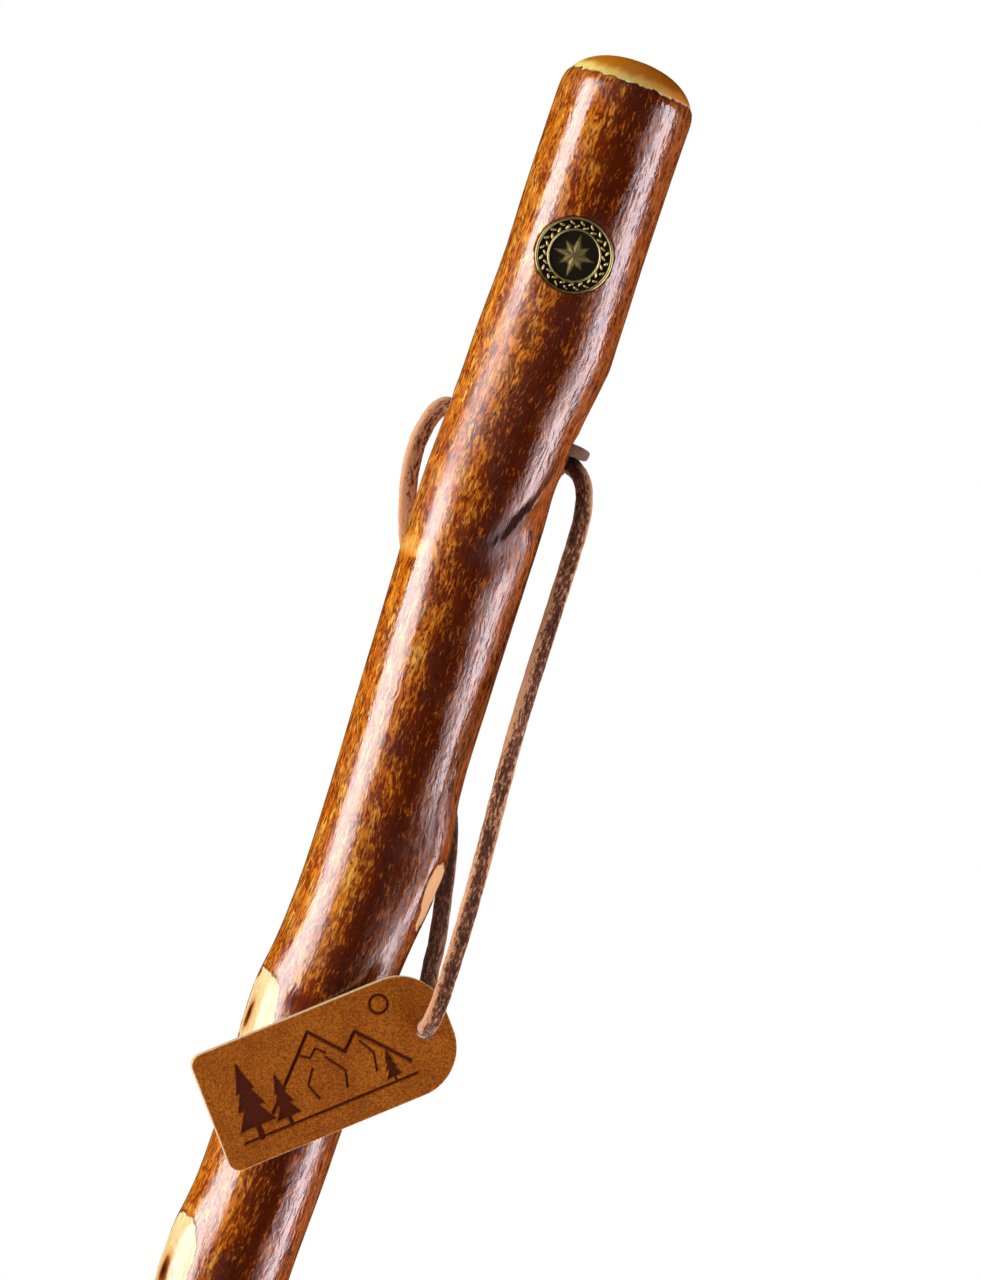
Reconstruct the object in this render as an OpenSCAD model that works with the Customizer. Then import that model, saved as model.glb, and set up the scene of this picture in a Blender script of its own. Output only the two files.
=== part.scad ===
// Hiking staff: a bark-on hardwood stick with trimmed branch knots and a rounded bare crown,
// a medallion let into its front, a suede wrist lace through a cross bore, a leather tag on
// the lace and a pull-off rubber tip with a steel washer inside.
// Millimetres, +Z up, origin at the middle of the sole, front of the staff towards -Y.

/* [Staff] */
// Height of the whole staff, from the sole to the top of the crown
staff_length = 1397; // [1250:1:1550]
// Diameter of the stick's even taper at the crown
top_d = 34; // [32:0.2:37]
// Diameter over the bark just above the rubber tip
toe_d = 25.5; // [23:0.1:28]
// Height of the rounded crown of bare wood
crown_h = 12; // [8:0.5:16]
// Fullness of the crown's profile, where 2 is an ellipse
crown_fullness = 2.2; // [2:0.1:4]
// How far the stick is out of round
out_of_round = 0.3; // [0:0.05:0.6]

/* [Medallion] */
// Diameter of the medallion
medal_d = 19.5; // [16:0.1:22]
// Thickness of the medallion at its rim
medal_t = 2.2; // [1.6:0.1:3]
// Distance of its middle below the top of the crown
medal_drop = 52; // [42:0.5:66]
// Depth of its rim below the front of the bark
medal_sink = 1.5; // [0.8:0.1:2]
// Clearance round it in its pocket
medal_gap = 0.1; // [0.05:0.05:0.3]
// Width of the raised rim
medal_rim_w = 0.7; // [0.4:0.1:1]
// Width of the sunk band inside the rim
medal_band_w = 2.3; // [1.5:0.1:3]
// Width of the raised ring inside the band
medal_ring_w = 0.5; // [0.3:0.1:0.8]
// Depth of the band and the middle field
medal_relief = 0.5; // [0.2:0.1:0.8]
// Diameter of the star in the middle
medal_star_d = 11; // [8:0.2:12]
// Points of the star
medal_star_points = 8; // [4:2:12]

/* [Lace] */
// Thickness of the suede lace
lace_d = 3.8; // [3:0.1:4.2]
// Diameter of the cross bore that carries the lace
bore_d = 6.4; // [5.6:0.1:8]
// Distance of the bore below the top of the crown
bore_drop = 96; // [92:0.5:100]
// Clearance under the lace where it rests in the bore
lace_rest = 0.4; // [0.2:0.05:0.6]
// Radius of the knot's turns, measured to the middle of the lace
knot_turn_r = 2.1; // [1.9:0.1:2.3]
// How much thinner the lace is where the knot squeezes it
knot_squeeze = 0.2; // [0.1:0.05:0.5]
// Thickness of the knot's loose tail
knot_tail_d = 3.3; // [2.6:0.1:3.6]
// Length of the knot's loose tail from the middle of the knot
knot_tail = 6; // [5:0.5:9]

/* [Tag] */
// Length of the leather tag
tag_l = 64; // [50:0.5:75]
// Width of the tag
tag_w = 31; // [26:0.5:36]
// Thickness of the leather
tag_t = 2.6; // [1.6:0.1:3.4]
// Radius of the two corners at the square end
tag_corner_r = 3; // [1:0.5:8]
// Radius of the two corners at the rounded end
tag_end_r = 12.5; // [8:0.5:13]
// Clearance round the lace in the punched hole
tag_hole_gap = 0.7; // [0.4:0.05:1]
// Distance from the hole to the rounded end
tag_hole_inset = 6.2; // [5:0.2:10]
// Rise of the tag's long axis from the square end to the hole, in degrees
tag_rise = 41; // [20:1:60]
// Turn of the tag about the vertical, its hole end away from the front, in degrees
tag_yaw = 12; // [8:1:14]
// Clearance between the bark and the back of the tag
tag_standoff = 1.2; // [1:0.1:2.4]

/* [Rubber tip] */
// Height of the rubber tip
tip_h = 37; // [30:0.5:46]
// Wall of the rubber round the socket
tip_wall = 2.5; // [2:0.1:4]
// How far the sole spreads past the waist, on each side
tip_flare = 1.3; // [0.5:0.1:3]
// How far the rim bead stands out, on each side
tip_bead = 0.7; // [0.3:0.1:1.2]
// Height of the rim bead
tip_bead_h = 4; // [2:0.5:6]
// Thickness of the rubber under the washer
tip_floor = 8; // [6:0.5:12]
// Height of the upright foot of the sole
tip_foot_h = 4; // [3:0.5:5]
// Rounding of the sole's edge
tip_sole_r = 1.5; // [0.5:0.1:2.5]
// Running clearance of the wood in the socket, on each side
socket_gap = 0.05; // [0.02:0.01:0.08]
// Depth of the ring grooves in the sole
tread_depth = 1.4; // [0.8:0.1:2.5]
// Width of the ring grooves in the sole
tread_groove = 2; // [1.2:0.1:2.6]
// Distance from one ring groove to the next
tread_pitch = 4.2; // [3.6:0.1:5]
// Ring grooves in the sole
tread_rings = 3; // [1:1:3]
// Moulded side ribs below the bead
tip_ribs = 2; // [0:1:8]
// Length of the side ribs
tip_rib_l = 9; // [6:0.5:14]
// Width of the side ribs
tip_rib_w = 5; // [3:0.5:7]

/* [Washer] */
// Thickness of the steel washer
washer_t = 1.6; // [1:0.1:2.5]
// Diameter of the washer's hole
washer_hole_d = 8.4; // [5:0.1:12]
// Clearance round the washer in the socket
washer_gap = 0.1; // [0.05:0.05:0.3]

/* [Hidden] */

// Surface steps: sides of the stick and the lace, and the spacing of the stick's rings
stick_sides = 32;
lace_sides = 8;
grip_step = 7;
lower_step = 13;
round_fn = 96;
knot_fn = 32;

// The stick is drawn by distance below its top. The grip part keeps its length, and the run
// below it, drawn for shaft_drawn, stretches or shrinks with the staff.
grip_len = 350;
shaft_drawn = 1360;
shoulder_gap = 0.3;
bark_step = 0.1;
shoulder_z = tip_h + shoulder_gap;

// Natural line of the stick: distance below the top, side offset, depth offset, and how much
// thicker it is there than an even taper
STATIONS = [
    [0, 1.8, 0, 1.2], [37, 2.4, 0, 1], [57, 3, 0, 0.7], [67, 3, 0, 0.9], [77, 3.1, 0, 1.3],
    [87, 2.5, 0, -0.2], [102, 2, 0, -0.9], [117, 2.2, 0, -0.4], [132, 2.8, 0, -0.8], [162, 4.1, 0, -1.2],
    [192, 5.5, 0, -1.6], [217, 6.6, 0, -1.1], [252, 6.2, 0, -1.4], [292, 6.9, 0, -1.6],
    [322, 7.2, 0, -2], [345, 8.1, -0.3, -1], [380, 8.4, -1, -1], [420, 8, -1.8, -1.5],
    [455, 6.6, -2.4, -1.4], [500, 3.3, -2.6, -0.9], [540, 0.7, -2.4, -1],
    [590, -2.4, -1.6, -1.1], [630, -5, -0.6, -0.9], [660, -7.8, 0.2, -0.3],
    [695, -10.4, 1.2, -0.5], [735, -12.2, 2.3, -0.8], [765, -11.6, 2.9, 0.8],
    [800, -10.8, 3.3, -0.2], [845, -9.8, 3.6, 0], [885, -8.4, 3.3, -0.3],
    [915, -5.9, 2.9, 2], [940, -4, 2.4, 0.3], [1000, -4.1, 1, -0.3],
    [1060, -4.8, -0.4, -0.4], [1115, -5.4, -1.4, -0.1], [1170, -4.6, -1.8, -0.1],
    [1230, -3.4, -1.5, 0.6], [1290, -2.2, -0.8, 0], [1330, -1.2, -0.3, 0],
    [1350, -0.2, 0, 0], [1360, 0, 0, 0]
];

// Trimmed branch knots: distance below the top, angle from the front (right positive), rise of
// the swelling, its half length, its half width in degrees, depth of the trim below its peak,
// and tilt of the trim
KNOTS = [
    [207, 72, 3, 14, 32, 1.2, 3], [253, -74, 2.8, 14, 32, 1.2, 0], [320, -74, 3.8, 15, 30, 1.6, 0],
    [342, 62, 3, 14, 34, 1.5, -4], [636, 72, 1.6, 10, 28, 1.1, 0], [698, 16, 1.9, 17, 36, 1.5, 0],
    [754, -62, 1.4, 13, 30, 1.7, 4], [830, 38, 1.9, 16, 32, 1.5, 0], [946, 40, 1.4, 12, 30, 1.2, 0],
    [1233, -48, 1.9, 11, 32, 1.2, 0], [1233, 66, 1.7, 11, 32, 1.2, 0]
];

// Swellings and hollows that keep their bark: distance below the top, angle from the front,
// rise, half length, half width in degrees, and lean in degrees for each millimetre up
SWELLS = [
    [74, 62, 0.8, 20, 34, 0], [121, 50, -1.7, 11, 17, 3], [138, -28, 0.6, 12, 40, 0],
    [586, 0, 0.5, 8, 24, 0], [787, -34, 0.5, 9, 20, 0], [905, 12, 0.6, 14, 40, 0]
];

// Route of the lace from the knot, down to the tag's hole, up behind the stick and back through
// the bore, where it lies on the floor of the bore: side, depth, distance below the top
lace_floor = bore_drop + bore_d / 2 - lace_d / 2 - lace_rest;
LACE = [
    [19.6, 9, 100.6], [21.2, 6.2, 101.2], [23.2, 3.4, 102.8], [25.2, 1.8, 106.2], [26.8, 0.4, 113],
    [27.5, -1.6, 125], [27.9, -3.4, 137], [29.1, -8.2, 167], [31.7, -13, 197], [33, -16.2, 215],
    [33.6, -18.2, 228], [33.8, -19.1, 236], [33.5, -17.4, 242],
    [32.7, -12.8, 244.1],
    [31.5, -8.2, 242.6], [30.2, -5.2, 236.6], [29, -3.4, 230], [28, -1.2, 222], [23.5, 6.8, 202],
    [19.2, 11.8, 190], [15, 15.2, 178], [9, 18.1, 166], [2, 19.2, 155], [-4.4, 17.6, 145.4],
    [-9.4, 14.2, 137.4], [-12.9, 10.3, 131], [-15.6, 6.2, 123.6], [-17.6, 2.8, 115.6], [-18.3, 1, 108.4],
    [-17.7, 0.3, 103], [-16.6, 0.1, 99.2], [-14.8, 0, 97.1],
    [-12.4, 0, lace_floor], [-4, 0, lace_floor], [8, 0, lace_floor], [16, 0, lace_floor],
    [18.8, 0.6, lace_floor], [20.6, 2.8, 96.9], [21, 5.8, 96.9], [20.2, 8.8, 97]
];
LACE_AT_HOLE = 13;
LACE_AT_LEFT = 32;
lace_parts = 2;

// Middle of the knot, the two turns that it is tied with, and the way its tail hangs
KNOT_AT = [19.4, 11, 98.7];
KNOT_TURNS = [35, -55];
KNOT_FACING = 40;
KNOT_TAIL_TURN = [0, 168, 60];

// Distance below the top to height
function height(drop) =
    drop <= grip_len ? staff_length - drop
    : let (share = (shaft_drawn - drop) / (shaft_drawn - grip_len))
      shoulder_z + (staff_length - grip_len - shoulder_z) * share;

// Smooth reading of column k of a list of rows at v, held past the last row
function row_of(rows, v, i = 0) = i >= len(rows) - 2 || v < rows[i + 1][0] ? i : row_of(rows, v, i + 1);
function slope(rows, k, i) =
    let (a = rows[max(i - 1, 0)], b = rows[min(i + 1, len(rows) - 1)]) (b[k] - a[k]) / (b[0] - a[0]);
function reading(rows, v, k) =
    let (
        i = row_of(rows, v), a = rows[i], b = rows[i + 1], h = b[0] - a[0], t = min(1, (v - a[0]) / h),
        blend = t * t * (3 - 2 * t), lead = t * (1 - t) * (1 - t), lag = t * t * (1 - t)
    )
    a[k] + (b[k] - a[k]) * blend + h * (slope(rows, k, i) * lead - slope(rows, k, i + 1) * lag);

// Middle of the stick and radius of its bark
function axis_x(drop) = reading(STATIONS, drop, 1);
function axis_y(drop) = reading(STATIONS, drop, 2);
function around(a) = (a + 900) % 360 - 180;
function rise(s, drop, a, lean) =
    let (up = s[0] - drop, off = around(a - s[1] - lean * up))
    s[2] * exp(-pow(up / s[3], 2) - pow(off / s[4], 2));
function total(list, i = 0) = i >= len(list) ? 0 : list[i] + total(list, i + 1);
function taper_r(drop) = (top_d + (toe_d - top_d) * drop / shaft_drawn + reading(STATIONS, drop, 3)) / 2;
function bark_r(drop, a) =
    taper_r(drop)
    + out_of_round * cos(2 * a + drop) * min(1, (shaft_drawn - drop) / grip_len)
    + total([for (k = KNOTS) rise(k, drop, a, 0)])
    + total([for (s = SWELLS) rise(s, drop, a, s[5])]);
function crown_share(drop) =
    drop >= crown_h ? 1 : pow(1 - pow(1 - drop / crown_h, crown_fullness), 1 / crown_fullness);
function bark_point(drop, a) =
    let (r = bark_r(drop, a) * crown_share(drop))
    [axis_x(drop) + r * sin(a), axis_y(drop) - r * cos(a), height(drop)];

// Levels of the stick's rings: close on the crown, even down the grip, wider below
CROWN_ROWS = [0.03, 0.1, 0.25, 0.5, 0.75];
grip_rings = round((grip_len - crown_h) / grip_step);
lower_rings = round((shaft_drawn - grip_len) / lower_step);
LEVELS = concat(
    [for (share = CROWN_ROWS) crown_h * share],
    [for (i = [0:grip_rings]) crown_h + (grip_len - crown_h) * i / grip_rings],
    [for (i = [1:lower_rings]) grip_len + (shaft_drawn - grip_len) * i / lower_rings]
);

// Seats on the stick
bore_z = height(bore_drop);
medal_crest_y = axis_y(medal_drop) - taper_r(medal_drop);
medal_floor_y = medal_crest_y + medal_sink + medal_t;
spigot_d = toe_d - 2 * bark_step;
spigot_z = tip_floor + washer_t;

// Pose of the tag: its plane clears the bark by tag_standoff
tag_hole_d = lace_d + 2 * tag_hole_gap;
tag_hole_x = LACE[LACE_AT_HOLE][0];
tag_hole_drop = LACE[LACE_AT_HOLE][2];
tag_reach = taper_r(tag_hole_drop) + tag_standoff + tag_t / 2;
tag_hole_y = axis_y(tag_hole_drop)
    - (tag_reach - sin(tag_yaw) * (tag_hole_x - axis_x(tag_hole_drop))) / cos(tag_yaw);

// Sizes of the rubber tip
socket_d = spigot_d + 2 * socket_gap;
tip_waist_d = socket_d + 2 * tip_wall;
tip_sole_d = tip_waist_d + 2 * tip_flare;
tip_rim_d = tip_waist_d + 2 * tip_bead;
tip_waist_z = tip_h - tip_bead_h - tip_rib_l;
tread_first = tread_pitch - tread_groove / 2;
washer_d = socket_d - 2 * washer_gap;

// Closed skin over rings of points with as many sides each, from a top point or flat cap to a
// flat cap
function ring_faces(sides, rings, first) = [
    for (i = [0:rings - 2], j = [0:sides - 1])
        let (a = first + i * sides, b = (j + 1) % sides)
        each [[a + j, a + b, a + sides + j], [a + b, a + sides + b, a + sides + j]]
];

module bark_skin() {
    rings = len(LEVELS);
    skin = [for (drop = LEVELS, j = [0:stick_sides - 1]) bark_point(drop, 360 * j / stick_sides)];
    crown = [axis_x(0), axis_y(0), height(0)];
    foot = [axis_x(shaft_drawn), axis_y(shaft_drawn), height(shaft_drawn)];
    last = 1 + (rings - 1) * stick_sides;
    faces = concat(
        [for (j = [0:stick_sides - 1]) [0, 1 + (j + 1) % stick_sides, 1 + j]],
        ring_faces(stick_sides, rings, 1),
        [for (j = [0:stick_sides - 1]) [last + j, last + (j + 1) % stick_sides, last + stick_sides]]
    );
    polyhedron(concat([crown], skin, [foot]), faces);
}

// Flat saw cut that trims one branch knot
module knot_trim(k) {
    reach = taper_r(k[0]) + k[2] - k[5];
    span = 4 * k[3];
    translate([axis_x(k[0]), axis_y(k[0]), height(k[0])])
        rotate([0, 0, k[1]])
            translate([0, -reach, 0])
                rotate([k[6], 0, 0])
                    translate([-span / 2, -span, -span / 2])
                        cube(span);
}

module shaft() {
    color("#8c4a18")
        difference() {
            union() {
                bark_skin();
                translate([0, 0, spigot_z])
                    cylinder(d = spigot_d, h = shoulder_z + shoulder_gap - spigot_z, $fn = round_fn);
            }
            for (k = KNOTS)
                knot_trim(k);
            translate([axis_x(bore_drop), axis_y(bore_drop), bore_z])
                rotate([0, 90, 0])
                    cylinder(d = bore_d, h = 2 * top_d, center = true, $fn = round_fn);
            translate([axis_x(medal_drop), medal_floor_y, height(medal_drop)])
                rotate([90, 0, 0])
                    cylinder(d = medal_d + 2 * medal_gap, h = top_d, $fn = round_fn);
        }
}

// Star of long and short points
module star(points, d) {
    polygon([
        for (i = [0:2 * points - 1])
            let (a = 180 * i / points, long = i % 4 == 0, r = i % 2 == 1 ? d / 7 : long ? d / 2 : d / 3)
            [r * sin(a), r * cos(a)]
    ]);
}

module medallion() {
    rim_r = medal_d / 2;
    band_r = rim_r - medal_rim_w;
    ring_r = band_r - medal_band_w;
    field_r = ring_r - medal_ring_w;
    low = medal_t - medal_relief;
    star_top = medal_t - medal_relief / 2;
    color("#5c4a20")
        translate([axis_x(medal_drop), medal_floor_y, height(medal_drop)])
            rotate([90, 0, 0]) {
                rotate_extrude($fn = round_fn)
                    polygon([
                        [0, 0], [rim_r, 0], [rim_r, medal_t], [band_r, medal_t], [band_r, low],
                        [ring_r, low], [ring_r, medal_t], [field_r, medal_t], [field_r, low], [0, low]
                    ]);
                linear_extrude(star_top)
                    star(medal_star_points, medal_star_d);
            }
}

// Rings of the lace along a smooth line through its route
LACE_ROUTE = [for (p = LACE) [p[0], p[1], staff_length - p[2]]];
function route_slope(i) =
    let (before = max(i - 1, 0), after = min(i + 1, len(LACE) - 1))
    (LACE_ROUTE[after] - LACE_ROUTE[before]) / (after - before);
function route_at(i, t) =
    i >= len(LACE) - 1 ? LACE_ROUTE[i]
    : let (
        a = LACE_ROUTE[i], b = LACE_ROUTE[i + 1],
        blend = t * t * (3 - 2 * t), lead = t * (1 - t) * (1 - t), lag = t * t * (1 - t)
    )
    a + (b - a) * blend + route_slope(i) * lead - route_slope(i + 1) * lag;
LACE_LINE = [
    for (i = [0:(len(LACE) - 1) * lace_parts])
        route_at(floor(i / lace_parts), (i % lace_parts) / lace_parts)
];
function unit(v) = v / norm(v);
function lace_way(i) =
    unit(LACE_LINE[min(i + 1, len(LACE_LINE) - 1)] - LACE_LINE[max(i - 1, 0)]);
// Side direction carried along the line without twist
function carried(i, side) = let (w = lace_way(i)) unit(side - w * (side * w));
function sides_from(i, side) =
    i >= len(LACE_LINE) ? [] : let (s = carried(i, side)) concat([s], sides_from(i + 1, s));
LACE_SIDES = sides_from(0, [0, 0, 1]);
function lace_ring(i) =
    let (s = LACE_SIDES[i], n = cross(lace_way(i), s))
    [for (j = [0:lace_sides - 1])
        let (a = 360 * j / lace_sides)
        LACE_LINE[i] + lace_d / 2 * (s * cos(a) + n * sin(a))];

module lace_run(from, to) {
    rings = [for (i = [from * lace_parts:to * lace_parts]) lace_ring(i)];
    count = len(rings);
    last = (count - 1) * lace_sides;
    faces = concat(
        [[for (j = [0:lace_sides - 1]) j]],
        [for (f = ring_faces(lace_sides, count, 0)) [f[0], f[2], f[1]]],
        [[for (j = [0:lace_sides - 1]) last + lace_sides - 1 - j]]
    );
    color("#6e4632")
        polyhedron([for (ring = rings) each ring], faces);
}

module lace_front() {
    lace_run(0, LACE_AT_HOLE);
}

module lace_back() {
    lace_run(LACE_AT_HOLE, LACE_AT_LEFT);
}

module lace_bore() {
    lace_run(LACE_AT_LEFT, len(LACE) - 1);
}

// Overhand knot that closes the lace: two crossed turns and a short tail
module lace_knot() {
    knot_d = lace_d - knot_squeeze;
    color("#5e3a28")
        translate([KNOT_AT[0], KNOT_AT[1], staff_length - KNOT_AT[2]]) {
            for (turn = KNOT_TURNS)
                rotate([turn, 0, KNOT_FACING])
                    rotate_extrude($fn = knot_fn)
                        translate([knot_turn_r, 0])
                            circle(d = knot_d, $fn = knot_fn);
            sphere(d = lace_d, $fn = knot_fn);
            rotate(KNOT_TAIL_TURN)
                cylinder(d = knot_tail_d, h = knot_tail, $fn = knot_fn);
        }
}

module tag_outline() {
    square_end = tag_hole_inset - tag_l;
    half = tag_w / 2;
    translate([square_end + tag_corner_r, -half])
        square([tag_l - tag_corner_r - tag_end_r, tag_w]);
    translate([square_end, -half + tag_corner_r])
        square([tag_l - tag_end_r, tag_w - 2 * tag_corner_r]);
    translate([square_end + tag_corner_r, -half + tag_end_r])
        square([tag_l - tag_corner_r, tag_w - 2 * tag_end_r]);
    for (side = [-1, 1]) {
        translate([square_end + tag_corner_r, side * (half - tag_corner_r)])
            circle(r = tag_corner_r, $fn = round_fn);
        translate([tag_hole_inset - tag_end_r, side * (half - tag_end_r)])
            circle(r = tag_end_r, $fn = round_fn);
    }
}

module tag() {
    color("#8a4d12")
        translate([tag_hole_x, tag_hole_y, height(tag_hole_drop)])
            rotate([0, 0, tag_yaw])
                rotate([90, 0, 0])
                    rotate([0, 0, tag_rise])
                        difference() {
                            translate([0, 0, -tag_t / 2])
                                linear_extrude(tag_t)
                                    tag_outline();
                            cylinder(d = tag_hole_d, h = 2 * tag_t, center = true, $fn = round_fn);
                        }
}

module tip_profile() {
    sole_r = tip_sole_d / 2;
    waist_r = tip_waist_d / 2;
    rim_r = tip_rim_d / 2;
    socket_r = socket_d / 2;
    translate([sole_r - tip_sole_r, tip_sole_r])
        intersection() {
            circle(r = tip_sole_r, $fn = round_fn);
            translate([0, -tip_sole_r])
                square(tip_sole_r);
        }
    polygon([
        [0, 0], [sole_r - tip_sole_r, 0], [sole_r - tip_sole_r, tip_sole_r], [sole_r, tip_sole_r],
        [sole_r, tip_foot_h], [waist_r, tip_waist_z], [waist_r, tip_h - tip_bead_h],
        [rim_r, tip_h - tip_bead_h + tip_bead], [rim_r, tip_h - tip_bead],
        [rim_r - tip_bead, tip_h], [socket_r, tip_h], [socket_r, tip_floor], [0, tip_floor]
    ]);
}

module rubber_tip() {
    color("#4a3c36")
        difference() {
            union() {
                rotate_extrude($fn = round_fn)
                    tip_profile();
                for (i = [0:1:tip_ribs - 1])
                    rotate([0, 0, 360 * i / tip_ribs])
                        intersection() {
                            translate([tip_waist_d / 2 - tip_wall / 2, -tip_rib_w / 2, tip_waist_z])
                                cube([tip_wall / 2 + tip_bead, tip_rib_w, tip_rib_l + tip_bead]);
                            translate([0, 0, tip_waist_z])
                                cylinder(d = tip_rim_d, h = tip_rib_l + tip_bead, $fn = round_fn);
                        }
            }
            for (i = [0:tread_rings - 1])
                rotate_extrude($fn = round_fn)
                    translate([tread_first + i * tread_pitch, 0])
                        square([tread_groove, tread_depth]);
        }
}

module tip_washer() {
    color("silver")
        translate([0, 0, tip_floor])
            difference() {
                cylinder(d = washer_d, h = washer_t, $fn = round_fn);
                translate([0, 0, -washer_t])
                    cylinder(d = washer_hole_d, h = 3 * washer_t, $fn = round_fn);
            }
}

shaft();
medallion();
lace_front();
lace_back();
lace_bore();
lace_knot();
tag();
rubber_tip();
tip_washer();
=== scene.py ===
"""Looks of the hiking staff: a varnished bark-on stick with trimmed knots, an aged brass medallion,
a suede wrist lace with a leather tag, and a rubber tip. Lengths are metres unless a name says mm."""

import math

import bmesh
import bpy
import numpy as np
from mathutils import Matrix, Vector
from mathutils.bvhtree import BVHTree


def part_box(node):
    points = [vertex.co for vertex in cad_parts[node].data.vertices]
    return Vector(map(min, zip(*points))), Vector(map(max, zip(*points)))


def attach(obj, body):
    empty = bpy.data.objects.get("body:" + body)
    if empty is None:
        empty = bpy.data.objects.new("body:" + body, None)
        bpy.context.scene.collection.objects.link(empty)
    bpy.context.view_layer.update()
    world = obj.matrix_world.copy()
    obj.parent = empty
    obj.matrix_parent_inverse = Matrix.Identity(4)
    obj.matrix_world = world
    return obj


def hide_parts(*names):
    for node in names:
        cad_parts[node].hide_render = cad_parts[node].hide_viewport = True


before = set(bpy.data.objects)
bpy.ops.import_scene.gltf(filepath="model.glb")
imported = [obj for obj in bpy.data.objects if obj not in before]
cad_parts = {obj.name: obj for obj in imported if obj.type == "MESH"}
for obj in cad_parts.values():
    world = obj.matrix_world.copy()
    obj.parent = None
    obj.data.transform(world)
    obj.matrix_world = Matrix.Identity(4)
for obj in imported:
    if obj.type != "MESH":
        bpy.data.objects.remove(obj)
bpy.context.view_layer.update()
MM = 0.001
TOP_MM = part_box("shaft")[1].z / MM


# Small tools


def linear(hex_colour):
    """The linear colour that nodes take, from an sRGB hex value."""
    parts = [int(hex_colour[i : i + 2], 16) / 255 for i in (1, 3, 5)]
    return (*[c / 12.92 if c <= 0.04045 else ((c + 0.055) / 1.055) ** 2.4 for c in parts], 1.0)


def add(tree, kind, inputs=None, stops=None, **settings):
    """Adds a node with its settings, its inputs by name or number, and a ramp's stops. A kind is Blender's
    name, which for a shader node starts after ShaderNode. An input is a value, or what to link: a socket,
    a node whose first output is meant, or a list of them."""
    node = tree.nodes.new(kind if "Node" in kind else "ShaderNode" + kind)
    for name, value in settings.items():
        setattr(node, name, value)
    for name, value in (inputs or {}).items():
        for source in value if isinstance(value, list) else [value]:
            if isinstance(source, bpy.types.Node):
                source = next(output for output in source.outputs if output.enabled)
            if isinstance(source, bpy.types.NodeSocket):
                tree.links.new(source, node.inputs[name])
            else:
                node.inputs[name].default_value = source
    if stops:
        ramp = node.color_ramp.elements
        while len(ramp) < len(stops):
            ramp.new(0.5)
        for stop, (place, colour) in zip(ramp, stops):
            stop.position, stop.color = place, linear(colour)
    return node


def start_material(name):
    """An empty material and its node tree."""
    made = bpy.data.materials.new(name)
    made.use_nodes = True
    made.node_tree.nodes.clear()
    return made, made.node_tree


def start_tool(name, **sizes):
    """A Geometry Nodes tree with a geometry in and out and a named input for each size, by its kind."""
    tree = bpy.data.node_groups.new(name, "GeometryNodeTree")
    for size, kind in {"Geometry": "Geometry", **sizes}.items():
        tree.interface.new_socket(size, in_out="INPUT", socket_type="NodeSocket" + kind)
    tree.interface.new_socket("Geometry", in_out="OUTPUT", socket_type="NodeSocketGeometry")
    return tree, add(tree, "NodeGroupInput").outputs


def end_tool(tree, geometry, material):
    """Closes a tree with Realize Instances and Set Material."""
    real = add(tree, "GeometryNodeRealizeInstances", {"Geometry": geometry})
    dressed = add(tree, "GeometryNodeSetMaterial", {"Geometry": real, "Material": material})
    add(tree, "NodeGroupOutput", {"Geometry": dressed})


def use_tool(piece, tree, **sizes):
    """Runs a Geometry Nodes tree on a piece with these sizes and keeps the result as its plain mesh."""
    modifier = piece.modifiers.new(tree.name, "NODES")
    modifier.node_group = tree
    for socket in tree.interface.items_tree:
        if socket.in_out == "INPUT" and socket.name in sizes:
            modifier[socket.identifier] = sizes[socket.name]
    settle(piece)


def settle(piece):
    """Bakes a piece's modifiers into its mesh."""
    graph = bpy.context.evaluated_depsgraph_get()
    mesh = bpy.data.meshes.new_from_object(piece.evaluated_get(graph), depsgraph=graph)
    piece.modifiers.clear()
    old, piece.data = piece.data, mesh
    mesh.name = old.name
    bpy.data.meshes.remove(old)


def plain_object(name, data):
    """An object of some data, put in the scene."""
    made = bpy.data.objects.new(name, data)
    bpy.context.scene.collection.objects.link(made)
    return made


def plain_shape(name, shape, **settings):
    """An object of one of bmesh's plain shapes."""
    mesh, work = bpy.data.meshes.new(name), bmesh.new()
    shape(work, **settings)
    work.to_mesh(mesh)
    work.free()
    return plain_object(name, mesh)


def make_piece(name, points, faces, material=None):
    """A smooth-shaded mesh object from points in metres."""
    mesh = bpy.data.meshes.new(name)
    mesh.from_pydata([tuple(p) for p in points], [], [tuple(int(i) for i in f) for f in faces])
    mesh.polygons.foreach_set("use_smooth", [True] * len(mesh.polygons))
    if material:
        mesh.materials.append(material)
    return plain_object(name, mesh)


def keep_values(piece, name, values):
    """Stores one number or one vector for each point of a piece."""
    values = np.asarray(values, np.float32)
    kind, field = ("FLOAT_VECTOR", "vector") if values.ndim == 2 else ("FLOAT", "value")
    piece.data.attributes.new(name, kind, "POINT").data.foreach_set(field, values.ravel())


def points_of(piece):
    """A piece's points as an array in metres."""
    flat = np.zeros(len(piece.data.vertices) * 3, np.float32)
    piece.data.vertices.foreach_get("co", flat)
    return flat.reshape(-1, 3).astype(float)


def ring_angles(sides):
    """Angles of the points of a ring."""
    return 2 * np.pi * np.arange(sides) / sides


def ring_skin(rings):
    """Points and faces of a skin over rings of points, with a cap on the first ring and on the last."""
    rows, sides = len(rings), len(rings[0])
    faces = [
        (a + j, a + sides + j, a + sides + (j + 1) % sides, a + (j + 1) % sides)
        for a in range(0, (rows - 1) * sides, sides)
        for j in range(sides)
    ]
    return np.concatenate(rings), faces + [range(sides), range((rows - 1) * sides, rows * sides)]


def face_outwards(piece):
    """Merges doubles and turns all faces outwards."""
    work = bmesh.new()
    work.from_mesh(piece.data)
    bmesh.ops.remove_doubles(work, verts=work.verts, dist=1e-7)
    bmesh.ops.recalc_face_normals(work, faces=work.faces)
    work.to_mesh(piece.data)
    work.free()


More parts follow.
